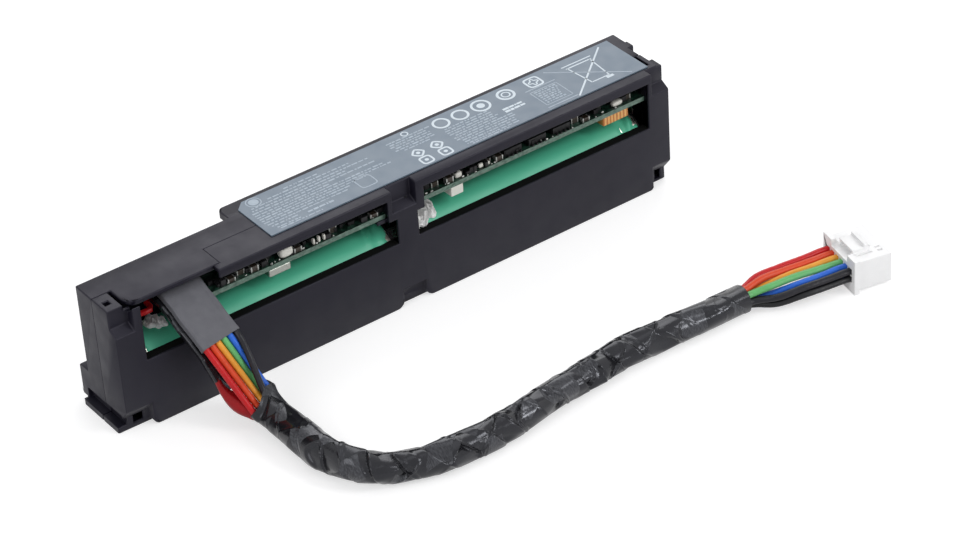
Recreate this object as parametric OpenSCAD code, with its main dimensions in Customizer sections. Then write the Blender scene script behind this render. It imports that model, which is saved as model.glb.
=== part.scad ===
// Battery module for a raid card: two cells and their gauge board in a
// clamshell case, with a taped harness that ends in a white connector.
// Local frame of the case: x from its left end, y from its front face,
// z up from its underside. seat() moves that frame to the origin, which is
// the middle of the case's footprint.

/* [Case] */
// Height of the case without the label
body_h = 32.1; // [31.5:0.1:34.9]
// Thickness of the side walls
wall = 0.8; // [0.6:0.1:1.2]
// Thickness of the top and of the end walls
top_t = 1.2; // [1:0.1:1.6]
// Thickness of the floor
floor_t = 1; // [0.8:0.1:1.5]
// Distance from the front face to the line where the shells part
split_y = 8.9; // [8.5:0.1:9.5]
// Depth of the relief pockets in the front face
pocket_d = 2.4; // [2:0.1:2.6]

/* [Cover] */
// Left end of the wide cover
cover_x = 39.4; // [34:0.2:41]
// How far the cover stands out behind the case
cover_out = 4.6; // [3:0.2:6]
// Thickness of the cover's overhang
cover_t = 2; // [1.5:0.1:3]
// Left edge of the tab over the cable exit
tab_x = 4.9; // [4.7:0.1:5.4]
// Right edge of the tab over the cable exit
tab_end = 28.6; // [28:0.2:32]
// Front edge of the tab
tab_y = 2.2; // [2:0.1:2.8]
// Thickness of the tab
tab_t = 1.3; // [1.3:0.05:1.4]
// Radius of the tab's free corner
tab_r = 3; // [2:0.5:4]

/* [Windows] */
// Height of the window sill
sill_z = 17.6; // [17.1:0.1:17.9]
// Height of the case above the windows
lintel_h = 2.4; // [2.2:0.1:2.8]
// Left edge of the left window
win_x = 6.9; // [6.6:0.1:7.2]
// Distance from the right window to the right end
win_end = 6.1; // [6:0.1:6.6]
// Width of the post between the windows
post_w = 5.7; // [5:0.1:6]
// Right end of the opening that the cable leaves by
exit_end = 27; // [26:0.2:28]

/* [Feet and rail] */
// How far the foot stands out of the left end
lip = 1.2; // [0.8:0.1:2]
// Thickness of the foot's lip
lip_t = 1.5; // [1:0.1:2]
// Depth of the groove above the lip
groove = 1; // [0.6:0.1:1.2]
// Height of the groove's upper edge
groove_z = 4.2; // [3.5:0.1:4.6]
// Height of the relief at the lower corners
skirt_z = 6.3; // [5.5:0.1:6.6]
// Height of the relief in the middle of the lower edge
arch_z = 4.7; // [4:0.1:5.2]
// How far the rear rail stands out
rail_out = 3.6; // [3:0.1:4]
// Underside of the rear rail
rail_z = 1.2; // [1:0.1:2]
// Upper side of the rear rail
rail_top = 9.5; // [8:0.1:10]

/* [Label] */
// Distance from the cover's left end to the label
label_in = 3.3; // [3:0.1:5]
// Width of the rim in front of the label
label_rim = 3; // [2.6:0.1:3.5]
// Distance from the label to the cover's rear edge
label_back = 1.7; // [1:0.1:2.5]
// Thickness of the label
label_t = 0.3; // [0.2:0.05:0.5]
// Size of the label's cut corner
label_cut = 2.2; // [1:0.1:3]

/* [Cells] */
// Outer diameter of a cell in its sleeve
cell_d = 13.8; // [13.4:0.1:14]
// Length of a cell in its sleeve
cell_l = 65; // [63:0.5:65]
// Height of the cells' axis
cell_z = 13.1; // [12.7:0.1:13.5]
// Distance from the left end to the left cell
cell_x = 8.3; // [8:0.1:9]
// Gap between the two cells, end to end
cell_gap = 6.4; // [6:0.1:7]
// Distance from the right cell to the right end
cell_end = 7.3; // [7:0.1:8]
// Thickness of the heat-shrink sleeve
sleeve_t = 0.15; // [0.1:0.05:0.3]
// Diameter of a cell's raised terminal
cap_d = 5; // [4:0.2:6]
// Height of a cell's raised terminal
cap_h = 0.8; // [0.6:0.1:1]
// Thickness of the nickel strips
strip_t = 0.2; // [0.15:0.05:0.3]
// Width of the nickel strips
strip_w = 4; // [3:0.5:5]
// Free gap between a cell and the side walls, and over the filler
fit = 0.1; // [0.05:0.05:0.2]

/* [Board] */
// Left end of the circuit board
board_x = 25.2; // [25:0.2:26]
// Distance from the board to the right end
board_end = 6.2; // [6:0.1:7]
// Distance from the front face to the board
board_y = 1.5; // [1.3:0.1:1.7]
// Clear height between the board and the case's top
board_gap = 4.9; // [4.6:0.1:5.1]
// Thickness of the board
board_t = 1.2; // [0.8:0.1:1.3]

/* [Cable] */
// Diameter of the round wrapped cable
cable_d = 7; // [6:0.2:8]
// Width of the lower taped strip, which holds two wires
strip2_w = 3.5; // [3.3:0.1:3.7]
// Diameter of one insulated wire
wire_d = 1.5; // [1.2:0.1:1.5]
// Width of the flat taped stretch
ribbon_w = 10.2; // [10:0.1:10.4]
// Thickness of the flat taped stretch
ribbon_t = 2.1; // [2:0.05:2.2]
// Thickness of the foam between the flat stretch and the tab
foam_t = 1.2; // [0.8:0.1:1.2]

/* [Connector] */
// Distance between neighbouring contacts
pitch = 2; // [1.9:0.05:2.1]
// Length of the connector
plug_l = 9.9; // [9.5:0.1:11]
// Height of the connector's flange
plug_h = 9; // [8.8:0.1:9.4]
// Thickness of the connector's flange
flange_t = 1.4; // [1:0.1:2]
// Side of a square contact chamber
chamber = 1.6; // [1.6:0.05:1.65]

/* [Hidden] */
$fn = 48;

plastic = [0.16, 0.16, 0.18];
nickel = [0.75, 0.73, 0.68];
cream = [0.93, 0.92, 0.88];
eps = 0.01;

body_l = cell_x + 2 * cell_l + cell_gap + cell_end; // length of the case, end face to end face
body_d = cell_d + 2 * (wall + fit);  // depth of the case
cover_y = body_d + cover_out;        // rear edge of the cover
rail_y = body_d + rail_out;          // rear face of the rail
mid_x = body_l / 2;
origin_x = (body_l - lip) / 2;       // middle of the footprint
origin_y = cover_y / 2;
lintel_z = body_h - lintel_h;        // upper edge of the windows
end_in = body_l - 1.5;               // the set-back strip at the right end
end_z = body_h - 4.7;                // its lower edge

// pockets in the front face
pocket_z = body_h - 5.1;             // floor of the upper pockets
pocket_l = 4.9;                      // length of the left pocket
pocket_m = 6.5;                      // length of the middle pocket
pocket_r = 5;                        // length of the right pocket
frame_z = pocket_z - 2.8;            // lower edge of the middle pocket's frame
frame_w = 9.9;                       // width of that frame
post_x = mid_x - 2.2 + 2.85 - post_w / 2;
frame_x = mid_x - 4.5;
pocket_x = mid_x - 3.3;
arch_x = mid_x - 2;
arch_w = 6.3;
arch_d = 1.7;
skirt_l = 6.7;                       // length of the lower left relief
skirt_r = 5.2;                       // length of the lower right relief
foot_y = body_d + 1.3;               // rear end of the foot's lip
block_l = 3.9;                       // length of the left corner block

// cells and strips
axis_y = body_d / 2;
can_d = cell_d - 2 * sleeve_t;
cell2_x = cell_x + cell_l + cell_gap;
cell_top = cell_z + cell_d / 2;
washer_t = 0.4;
gasket_t = 0.5;                      // the gaskets between the sills and the cells
rebate = 0.3;                        // what is left of the sill in front of them

// board
board_l = body_l - board_x - board_end;
board_z = body_h - top_t - board_gap - board_t; // the board's underside
board_w = body_d - 2 * board_y + 0.3;
board_top = board_z + board_t;
notch_d = pocket_d + wall + 0.3;     // the board's cut-out behind the post
potting_x = 13.6;                    // where the left lead meets the potting

function unit(v) = v / norm(v);

contacts_n = 6;                      // contacts in one row of the connector

// ---- cable: hand-chosen points in the part's own frame ----
ribbon_route = [
  [-56, -1.5, 28], [-56, -4.5, 28], [-55.7, -9, 26],
  [-55.1, -13.5, 23], [-54.4, -17.6, 19.9]
];
bundle_mid = [
  [-53.4, -19.6, 16.5], [-52.4, -20.5, 13.1], [-51.3, -21.3, 10.1]
];
cable_route = [
  [-50, -23.4, 6.9], [-49.6, -25.5, 5.4], [-49.4, -30, 4.3], [-49.2, -35.7, 4.1],
  [-49, -41.5, 4], [-48.6, -47.9, 4], [-46.5, -53.9, 4], [-42.1, -58.9, 3.8],
  [-34.8, -62.5, 3.7], [-25.3, -64.4, 3.5], [-13.3, -64, 3.5], [-1.3, -62.5, 3.5],
  [10.7, -61, 3.5], [22.7, -60, 3.5], [34.7, -60.4, 3.5], [45.2, -61.2, 3.5],
  [55.3, -61.4, 3.5]
];
// width and height of the wrapped cable at its first points
cable_start = [
  [9.2, 5.6], [7.6, 6], [7, 6.6], [7.4, 7.2], [7.9, 7.6], [8, 7.8], [7.9, 7.6], [7.5, 7.3]
];
plug_at = [79.7, -66.5, 0];           // middle of the flange's rear face
plug_turn = -12;                     // degrees away from +x
fan_mid = [67.2, -64.2, 4.5];

cable_last = len(cable_route) - 1;
ribbon_dir = unit(ribbon_route[4] - ribbon_route[3]);
entry_dir = unit(cable_route[1] - cable_route[0]);
leave_dir = unit(cable_route[cable_last] - cable_route[cable_last - 1]);
plug_dir = [cos(plug_turn), sin(plug_turn), 0];
row_z = [plug_h / 2 + pitch / 2, plug_h / 2 - pitch / 2];

// Height of the upper wires and of the lower strip over the drawn route
row_up = 1.6 - ribbon_t / 2;
row_low = 1.6 - ribbon_t - 0.02 - 0.9;
strip_s = -ribbon_w / 2 - 0.7 + strip2_w / 2; // the lower strip's middle, across

// Each wire: its place across and above the route at the end of its tape, at
// the round cable's start, at its end and in the fan's middle, its column and
// row in the connector from the +y side and the top, and how far it rides over
// its neighbours on the way down, and how late it crosses over.
WIRE = [
  ["red",       [-4.1, row_up],  [-3.5, 0],      [1.5, 1.15],    [4.4, 1],     0, 0, 0, 2],
  ["orange",    [-2.46, row_up], [-1.85, 0.05],  [0.1, 1.9],     [2.7, 1.1],   1, 0, 0, 2],
  ["yellow",    [-0.82, row_up], [-0.2, 0.15],    [0, 0.1],       [0.9, 0.8],   2, 0, 0, 2],
  ["green",     [0.82, row_up],  [1.45, -0.55],  [-1.35, 1.25],  [-0.9, 1.2],  3, 0, 0, 2],
  ["blue",      [2.46, row_up],  [2.75, 0.45],   [0.95, -1.7],   [-2.7, 0.3],  4, 0, 0, 2],
  ["black",     [4.15, row_up],  [0.8, 1.85],    [-1.95, -0.35], [-4.6, 0.4],  5, 0, 1.1, 2],
  ["dark red",  [strip_s - 0.85, row_low], [-2.6, -1.65],  [1.95, -0.45],  [5, -0.7],    0, 1, -1.6, 2],
  ["black low", [strip_s + 0.85, row_low], [4.1, -0.75],  [-0.85, -1.9],  [-4.9, -1.3], 5, 1, -2.1, 1]
];

// ---- helpers ----
module seat() {
  translate([-origin_x, -origin_y, 0]) children();
}

module box(x0, x1, y0, y1, z0, z1) {
  translate([x0, y0, z0]) cube([x1 - x0, y1 - y0, z1 - z0]);
}

// A shape drawn in x and z, pushed back from y0 to y1
module pushed(y0, y1) {
  translate([0, y1, 0]) rotate([90, 0, 0]) linear_extrude(y1 - y0) children();
}

// A shape drawn in y and z, run along x from x0 to x1
module along_x(x0, x1) {
  translate([x0, 0, 0]) rotate([90, 0, 90]) linear_extrude(x1 - x0) children();
}

// The cell's own length of rod, from x0 to x1 on its axis
module rod(x0, x1, d) {
  translate([x0, axis_y, cell_z]) rotate([0, 90, 0]) cylinder(h = x1 - x0, d = d);
}

// The outward rounding of one lower corner of the skirt: side is 1 or -1
module corner_round(x, r, side) {
  difference() {
    translate([side > 0 ? x - eps : x - r, -eps]) square([r + eps, r + eps]);
    translate([x + side * r, r]) circle(r);
    translate([side > 0 ? x + r : x - 2 * r, -1]) square([r, r + 2]);
  }
}

// A frame that follows a route without twisting: [place, side, up, tangent]
function tangents(p) = [for (i = [0 : len(p) - 1])
  unit(p[min(i + 1, len(p) - 1)] - p[max(i - 1, 0)])];

function frames(p, s0) =
  let (t = tangents(p), n = len(p))
  [for (i = 0, s = unit(s0 - (s0 * t[0]) * t[0]); i < n;
        i = i + 1, s = i < n ? unit(s - (s * t[i]) * t[i]) : s)
    [p[i], s, cross(t[i], s), t[i]]];

// One closed tube through the frames; rings holds one outline per frame
module sweep(fr, rings) {
  n = len(fr);
  k = len(rings[0]);
  points = [for (i = [0 : n - 1]) for (q = rings[i]) fr[i][0] + q[0] * fr[i][1] + q[1] * fr[i][2]];
  sides = [for (i = [0 : n - 2]) for (j = [0 : k - 1])
    [i * k + j, (i + 1) * k + j, (i + 1) * k + (j + 1) % k, i * k + (j + 1) % k]];
  polyhedron(points, concat([[for (j = [0 : k - 1]) j]], sides,
    [[for (j = [k - 1 : -1 : 0]) (n - 1) * k + j]]), convexity = 6);
}

// An outline of k points: an oval w wide and h high, squarer as e falls
function oval(w, h, k, e = 1) = [for (j = [0 : k - 1])
  let (a = 360 * (j + 0.5) / k, c = cos(a), s = sin(a))
  [w / 2 * sign(c) * pow(abs(c), e), h / 2 * sign(s) * pow(abs(s), e)]];

// An outline moved across and up
function moved(r, s, u) = [for (q = r) q + [s, u]];

module tube(p, d, k) {
  fr = frames(p, [1, 0.01, 0]);
  sweep(fr, [for (i = fr) oval(d / cos(180 / k), d / cos(180 / k), k)]);
}

// ---- case ----
module foot_profile() {
  polygon([[-1, -1], [pocket_d, -1], [pocket_d, 3.3], [0, skirt_z], [-1, skirt_z]]);
}

// An upper pocket, whose floor rises towards the back
module pocket(x0, x1) {
  along_x(x0, x1)
    polygon([[-1, pocket_z - 1.4], [pocket_d, pocket_z + 0.5], [pocket_d, body_h + 1], [-1, body_h + 1]]);
}

// Everything that both shells lose at the ends
module end_cuts() {
  box(-1, groove, pocket_d, body_d + 1, lip_t, groove_z);
  box(end_in, body_l + 1, 6.1, 12.9, end_z, body_h + 1);
  box(end_in, body_l + 1, pocket_d - eps, 6.2, body_h - 0.5, body_h + 1);
}

module hollow(y0, y1) {
  difference() {
    box(top_t, body_l - top_t, y0, y1, floor_t, body_h - top_t);
    // kept solid: behind the pockets, the groove and the set-back strip
    box(0, pocket_l + wall, 0, pocket_d + wall, pocket_z - 1.6, body_h);
    box(pocket_x - wall, pocket_x + pocket_m + wall, 0, pocket_d + wall, pocket_z - 1.6, body_h);
    box(body_l - pocket_r - wall, body_l, 0, pocket_d + wall, pocket_z - 2.4, body_h);
    box(0, skirt_l + wall, 0, pocket_d + wall, 0, skirt_z + wall);
    box(body_l - skirt_r - wall, body_l, 0, pocket_d + wall, 0, skirt_z + wall);
    box(arch_x - wall, arch_x + arch_w + wall, 0, arch_d + wall, 0, arch_z + wall);
    box(0, groove + top_t, 0, body_d, 0, groove_z + wall);
    box(end_in - top_t, body_l, pocket_d, 12.9 + top_t, end_z - wall, body_h);
  }
}

// Ribs that carry the cells up to their axis, and stops between their ends
module cradle(y0, y1) {
  difference() {
    union() {
      for (x = [cell_x, cell2_x], k = [0.15, 0.5, 0.85])
        box(x + k * cell_l - 0.6, x + k * cell_l + 0.6, y0, y1, floor_t, cell_z);
      for (x = [top_t, cell_x + cell_l + 2.4, cell2_x + cell_l + 2.4])
        box(x, x + 1.6, y0, y1, floor_t, cell_z - strip_w / 2 - 1);
    }
    rod(cell_x - 1, cell2_x + cell_l + 1, cell_d + 0.04);
  }
}

module front_shell() {
  color(plastic) seat() difference() {
    union() {
      difference() {
        box(0, body_l, 0, split_y, 0, body_h);
        hollow(wall, split_y + 1);
      }
      cradle(wall - eps, split_y);
      box(-lip, eps, pocket_d, split_y, 0, lip_t);
      // seat for the board on the inside of the post
      box(frame_x - 2.4, frame_x + eps, wall - eps, board_y + 1.2, board_z - 1, board_z);
    }
    end_cuts();
    // left window, open to the top where the cable leaves
    box(win_x, exit_end, -1, pocket_d + eps, sill_z, body_h + 1);
    box(win_x, frame_x, -1, wall + 0.4, sill_z, lintel_z);
    box(frame_x - eps, post_x, -1, wall + 0.4, sill_z, frame_z);
    // right window
    box(post_x + post_w, body_l - win_end, -1, wall + 0.4, sill_z, frame_z);
    box(frame_x + frame_w, body_l - win_end, -1, wall + 0.4, frame_z - eps, lintel_z);
    // rebate for the gaskets along the sills
    for (x = [[win_x, post_x], [post_x + post_w, body_l - win_end]])
      box(x[0], x[1], rebate, wall + 0.4, sill_z - gasket_t, sill_z + eps);
    // the top below the tab
    box(block_l, exit_end, pocket_d, split_y + 1, body_h - top_t - eps, body_h + 1);
    box(exit_end - eps, tab_end, tab_y, split_y + 1, body_h - top_t - 0.2, body_h + 1);
    // upper pockets
    pocket(-1, pocket_l);
    pocket(pocket_x, pocket_x + pocket_m);
    pocket(body_l - pocket_r, body_l + 1);
    // the post beside the cable exit falls away under the tab
    along_x(pocket_l - eps, win_x + eps)
      polygon([[0, body_h], [pocket_d, body_h - 2.2], [pocket_d, body_h + 1], [0, body_h + 1]]);
    // square hole in the corner block and slot beside the label
    box(1.1, 2.5, 4.8, 6.2, body_h - 3, body_h + 1);
    box(body_l - 3.4, body_l - 2.7, 4, split_y + 1, body_h - top_t - 1, body_h + 1);
    // lower reliefs
    along_x(-lip - 1, skirt_l) foot_profile();
    along_x(body_l - skirt_r, body_l + 1) foot_profile();
    box(-lip - 1, 0, -1, pocket_d, -1, skirt_z);
    pushed(-1, arch_d) union() {
      translate([arch_x, -1]) square([arch_w, arch_z + 1]);
      corner_round(arch_x, 2, -1);
      corner_round(arch_x + arch_w, 2, 1);
    }
    pushed(-1, pocket_d) union() {
      corner_round(skirt_l, 1.5, 1);
      corner_round(body_l - skirt_r, 1, -1);
    }
    // small openings in the feet
    box(2.8, 5.2, pocket_d - eps, pocket_d + wall + 1, 1.2, 4.5);
    box(body_l - 3, body_l - 1.4, pocket_d - eps, pocket_d + wall + 1, 0.6, 3.5);
  }
}

module tab_outline() {
  translate([tab_x, split_y - eps]) square([tab_end - tab_x, 1]);
  difference() {
    translate([tab_x, tab_y]) square([tab_end - tab_x, split_y - tab_y]);
    translate([tab_x - 1, tab_y - 1]) square([tab_r + 1, tab_r + 1]);
  }
  translate([tab_x + tab_r, tab_y + tab_r]) circle(tab_r);
}

module rail_outline() {
  r = 0.8;
  difference() {
    translate([body_d - eps, rail_z]) square([rail_out + eps, rail_top - rail_z]);
    for (z = [rail_z, rail_top - r]) translate([rail_y - r, z]) square([r + 1, r]);
  }
  for (z = [rail_z + r, rail_top - r]) translate([rail_y - r, z]) circle(r);
}

module cover_outline() {
  r = 1.5;
  difference() {
    translate([cover_x, body_d - eps]) square([body_l - 0.5 - cover_x, cover_out + eps]);
    translate([cover_x - 1, cover_y - r]) square([r + 1, r + 1]);
  }
  translate([cover_x + r, cover_y - r]) circle(r);
}

module back_shell() {
  color(plastic) seat() difference() {
    union() {
      difference() {
        union() {
          box(0, body_l, split_y, body_d, 0, body_h);
          along_x(0, body_l) rail_outline();
        }
        hollow(split_y - 1, body_d - wall);
        box(top_t, body_l - top_t, body_d - wall - eps, rail_y - wall, rail_z + wall, rail_top - wall);
      }
      cradle(split_y, body_d - wall + eps);
      box(-lip, groove + eps, split_y, foot_y, 0, lip_t);
      translate([0, 0, body_h - cover_t]) linear_extrude(cover_t) cover_outline();
      translate([0, 0, body_h - tab_t]) linear_extrude(tab_t) tab_outline();
      // ledge under the board's rear edge
      box(board_x + 1, body_l - board_end - 1, board_y + board_w - 1, body_d - wall + eps, board_z - 1, board_z);
    }
    end_cuts();
  }
}

module label() {
  x0 = cover_x + label_in;
  x1 = body_l - 3.7;
  y0 = label_rim;
  y1 = cover_y - label_back;
  color([0.52, 0.57, 0.62]) seat() translate([0, 0, body_h]) linear_extrude(label_t)
    polygon([[x0, y0], [x1, y0], [x1, y1], [x0 + label_cut, y1], [x0, y1 - label_cut]]);
}

// ---- cells ----
module can(x) {
  color(nickel) seat() union() {
    difference() {
      rod(x + sleeve_t, x + cell_l - sleeve_t, can_d);
      // the rolled groove near the raised terminal
      translate([x + cell_l - 4, axis_y, cell_z]) rotate([0, 90, 0]) rotate_extrude()
        translate([can_d / 2 + 0.3, 0]) circle(0.8);
    }
    rod(x + cell_l - sleeve_t - eps, x + cell_l + cap_h, cap_d);
  }
}

module sleeve(x) {
  color([0.1, 0.5, 0.35]) seat() difference() {
    rod(x, x + cell_l, cell_d);
    rod(x + sleeve_t, x + cell_l - sleeve_t, can_d);
    rod(x - 1, x + cell_l + 1, can_d - 3);
  }
}

module washer(x) {
  color([0.06, 0.06, 0.07]) seat() difference() {
    rod(x + cell_l, x + cell_l + washer_t, cell_d - 0.6);
    rod(x, x + cell_l + 1, cap_d + 0.4);
  }
}

module cell_can_left() { can(cell_x); }
module cell_can_right() { can(cell2_x); }
module cell_sleeve_left() { sleeve(cell_x); }
module cell_sleeve_right() { sleeve(cell2_x); }
module cell_washer_left() { washer(cell_x); }
module cell_washer_right() { washer(cell2_x); }

// A strip that runs from the left cell's terminal over to the right cell's base
module nickel_link() {
  x0 = cell_x + cell_l + cap_h;
  x1 = cell2_x + sleeve_t;
  z0 = cell_z - strip_w / 2;
  z1 = cell_z + strip_w / 2;
  color(nickel) seat() {
    box(x0, x0 + strip_t, axis_y - strip_w / 2, axis_y + strip_w / 2, z0, z1);
    box(x1 - strip_t, x1, axis_y - strip_w / 2, axis_y + strip_w / 2, z0, z1);
    box(x0, x1, axis_y - strip_w / 2, axis_y + strip_w / 2, z1 - strip_t, z1);
  }
}

// Strip on the left cell's base, bent up past the end of the sleeve
module nickel_tab_left() {
  x = cell_x + sleeve_t;
  bend_z = cell_z + can_d / 2 - 2.2;
  y0 = axis_y - strip_w / 2;
  y1 = axis_y + strip_w / 2;
  color(nickel) seat() {
    box(x - strip_t, x, y0, y1, cell_z - strip_w / 2, bend_z);
    box(cell_x - strip_t, x, y0, y1, bend_z - strip_t, bend_z);
    box(cell_x - strip_t, cell_x, y0, y1, bend_z - strip_t, cell_top + 3);
  }
}

// Strip from the right cell's terminal up to the board's underside
module nickel_tab_right() {
  x = cell2_x + cell_l + cap_h;
  color(nickel) seat() {
    box(x, x + strip_t, axis_y - strip_w / 2, axis_y + strip_w / 2, cell_z - strip_w / 2, board_z);
    box(x - 3, x + eps, axis_y - strip_w / 2, axis_y + strip_w / 2, board_z - strip_t, board_z);
  }
}

// Blobs on a cell that starts at x: each one's distance along the cell, its
// place round the cell in degrees from the top, and its radius
module blobs(x, list, turn, fine) {
  color(cream) seat() difference() {
    union() {
      for (q = list)
        translate([x + q[0], axis_y + cell_d / 2 * sin(q[1]), cell_z + cell_d / 2 * cos(q[1])])
          rotate(turn) sphere(q[2], $fn = fine);
    }
    rod(x - 1, x + cell_l, cell_d + 0.04);
    box(0, x, 0, body_d, 0, body_h);
    box(0, body_l, -3, wall, 0, body_h);
    box(0, body_l, 0, body_d, board_z - fit, body_h);
  }
}

module glue_left() {
  blobs(cell_x, [[4.6, 4, 1.6], [6.6, 0, 1.5], [5.4, 14, 1.8], [3.2, 2, 1.3]], [0, 0, 0], $fn);
}

module glue_middle() {
  blobs(cell2_x, [[1.8, -31, 2.1], [4.9, -28, 1.9], [2, -9, 2.2], [4.2, -14, 1.9]], [11, 7, 5], 12);
}

// ---- board ----
module circuit_board() {
  color([0.1, 0.35, 0.25]) seat() difference() {
    box(board_x, board_x + board_l, board_y, board_y + board_w, board_z, board_top);
    box(pocket_x - wall - 0.3, pocket_x + pocket_m + wall + 0.3, 0, notch_d, board_z - 1, board_top + 1);
    for (x = [board_x + 14, board_x + board_l - 4])
      translate([x, board_y + board_w - 3, board_z - 1]) cylinder(h = board_t + 2, d = 1.8);
  }
}

// Places along the board are in percent of its length, from its left end
function along(k) = board_x + k / 100 * board_l;

// A package on the board's top side: middle, length along x, width, height
module package(k, y, l, w, h) {
  box(along(k) - l / 2, along(k) + l / 2, y - w / 2, y + w / 2, board_top, board_top + h);
}

// Short legs down both long sides of a package
module legs(k, y, l, w, n) {
  for (i = [0 : n - 1], s = [-1, 1])
    translate([along(k) - l / 2 + (i + 0.5) * l / n, y + s * (w / 2 + 0.4), board_top + 0.2])
      cube([0.35, 0.9, 0.4], center = true);
}

module controller_chip() {
  color([0.08, 0.08, 0.09]) seat() {
    package(32.2, 8.4, 7, 7, 1.2);
    legs(32.2, 8.4, 6.4, 7, 10);
  }
}

module gauge_chip() {
  color([0.08, 0.08, 0.09]) seat() {
    package(60.4, 7.8, 9.7, 4.4, 1.1);
    legs(60.4, 7.8, 9.1, 4.4, 12);
  }
}

module power_switches() {
  color([0.08, 0.08, 0.09]) seat()
    for (k = [68.7, 74.5, 80.3]) {
      package(k, 4.2, 4.9, 3.9, 1.6);
      legs(k, 4.2, 4.6, 3.9, 4);
    }
}

module choke() {
  color([0.13, 0.13, 0.14]) seat() {
    package(88.6, 8.6, 6, 6, 0.6);
    translate([along(88.6), 8.6, board_top + 0.6 - eps]) cylinder(h = 2.2, d = 5.6);
  }
}

module chip_capacitors() {
  places = [4.8, 7.3, 9.8, 12.3, 19.3, 27.6, 36.3, 50.8, 53.7, 63, 65.3, 84, 86.1, 96.8];
  color([0.62, 0.5, 0.36]) seat()
    for (i = [0 : len(places) - 1])
      package(places[i], 2.6 + 1.1 * (i % 2), 2, 1.25, 0.9 + 0.25 * (i % 3));
}

module chip_resistors() {
  places = [5.6, 8.5, 10.4, 13.9, 16.1, 21.2, 26.8, 38, 49.2, 52.2, 54.6, 72, 77.4, 83.6, 95.2];
  color([0.1, 0.1, 0.11]) seat()
    for (i = [0 : len(places) - 1])
      package(places[i], i % 2 == 0 ? 6.4 : 12, 1.6, 0.9, 0.5);
}

module white_top_parts() {
  color(cream) seat() {
    package(16.7, 3.2, 3, 2, 1.6);
    package(23.9, 2.9, 3.4, 1.6, 1.3);
    package(56, 2.9, 2, 1.6, 1.6);
    package(94, 2.9, 3.2, 1.6, 1.2);
  }
}

// A part on the board's underside, at its front edge: middle, length, depth, height
module hung(k, l, w, h) {
  box(along(k) - l / 2, along(k) + l / 2, board_y + 0.1, board_y + 0.1 + w, board_z - h, board_z);
}

module metal_fuse() {
  color([0.72, 0.72, 0.7]) seat() hung(14.9, 5.8, 3, 2);
}

module white_block() {
  color(cream) seat() hung(55, 3.4, 3.2, 2.5);
}

module amber_capacitor() {
  color([0.85, 0.5, 0.15]) seat() hung(93, 7.4, 3.2, 2.3);
}

// ---- harness ----
module potting_block() {
  color([0.1, 0.1, 0.1]) seat() difference() {
    box(potting_x + 0.7, board_x + 4.6, origin_y + ribbon_route[0][1], origin_y + 4,
        board_top - 1, body_h - 2.2);
    box(board_x - 0.2, body_l, 0, body_d, 0, board_top);
  }
}

module foam_pad() {
  color([0.2, 0.2, 0.22]) seat()
    box(tab_x + 9.5, tab_end - 4.6, origin_y + ribbon_route[1][1], origin_y + ribbon_route[0][1],
        body_h - tab_t - foam_t, body_h - tab_t);
}

// A gasket that closes the gap between a sill and a cell
module gasket(x0, x1) {
  color([0.03, 0.03, 0.03]) seat() difference() {
    box(x0, x1, rebate, axis_y, sill_z - gasket_t, sill_z);
    rod(0, body_l, cell_d + 0.04);
  }
}

module gasket_left() { gasket(win_x, post_x); }
module gasket_right() { gasket(post_x + post_w, body_l - win_end); }

// The red lead from the left strip up to the potting block
module sense_wire() {
  x = cell_x - origin_x;
  x1 = potting_x - origin_x;
  top = cell_top + 3;
  rise = board_top + 0.8 - top;
  color([0.7, 0.05, 0.05]) tube([
    [x - 0.5, -2.3, top + 0.65], [x + 1.5, -2.5, top + 0.3 * rise], [x + 3.3, -3.4, top + 0.43 * rise],
    [x + 4.3, -3.5, top + 0.46 * rise], [x + 4.8, -2.7, top + 0.49 * rise],
    [x + 4.7, -1.5, top + 0.65 * rise], [x + 4.8, -0.5, top + 0.87 * rise],
    [x1, 0.4, top + rise], [x1 + 0.7, 0.4, top + rise]
  ], 1.3, 8);
}

module tape_wrap() {
  fr = frames(ribbon_route, [1, 0, 0]);
  color([0.2, 0.2, 0.21]) sweep(fr, [for (f = fr) moved(oval(ribbon_w, ribbon_t, 12, 0.45), 0, row_up)]);
}

// The way down from the flat stretch to the round cable, which all wires share
drop_frames = frames(concat(
  [ribbon_route[4], ribbon_route[4] + 1.2 * ribbon_dir], bundle_mid,
  [cable_route[0] - 1.2 * entry_dir, cable_route[0]]), [1, 0, 0]);
drop_last = len(drop_frames) - 1;
strip_end = 3;                       // the frame at which the lower strip ends

// The lower strip, which runs on past the end of the upper one
module tape_strip() {
  fr = concat(frames([for (i = [0 : 3]) ribbon_route[i]], [1, 0, 0]),
    [for (i = [0 : strip_end]) drop_frames[i]]);
  color([0.06, 0.06, 0.07]) sweep(fr, [for (f = fr) moved(oval(strip2_w, 1.8, 12, 0.5), strip_s, row_low)]);
}

// Where a wire lies between the end of its tape and the cable's start
function drop_points(w, lower) = let (first = lower ? strip_end : 0) concat(
  lower ? [place_at(w, strip_end, 0), place_at(w, strip_end, 0) + 0.8 * drop_frames[strip_end][3]] : [],
  [for (i = [lower ? first + 1 : 0 : drop_last])
    let (g = i == 1 && !lower ? 0 : i == drop_last - 1 ? drop_last : i,
         k = max(0, min(1, (i - 1 - (lower ? first - 1 : 0)) / (drop_last - 2 - (lower ? first - 1 : 0)))))
    place_on(w, drop_frames[i][0], drop_frames[g], k)]);

function place_at(w, i, k) = place_on(w, drop_frames[i][0], drop_frames[i], k);

function place_on(w, at, f, k) =
  let (e = pow(k, w[8]),
       s = (1 - e) * w[1][0] + e * w[2][0],
       u = (1 - k) * w[1][1] + k * w[2][1] + w[7] * sin(180 * k))
  at + s * f[1] + u * f[2];

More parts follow.
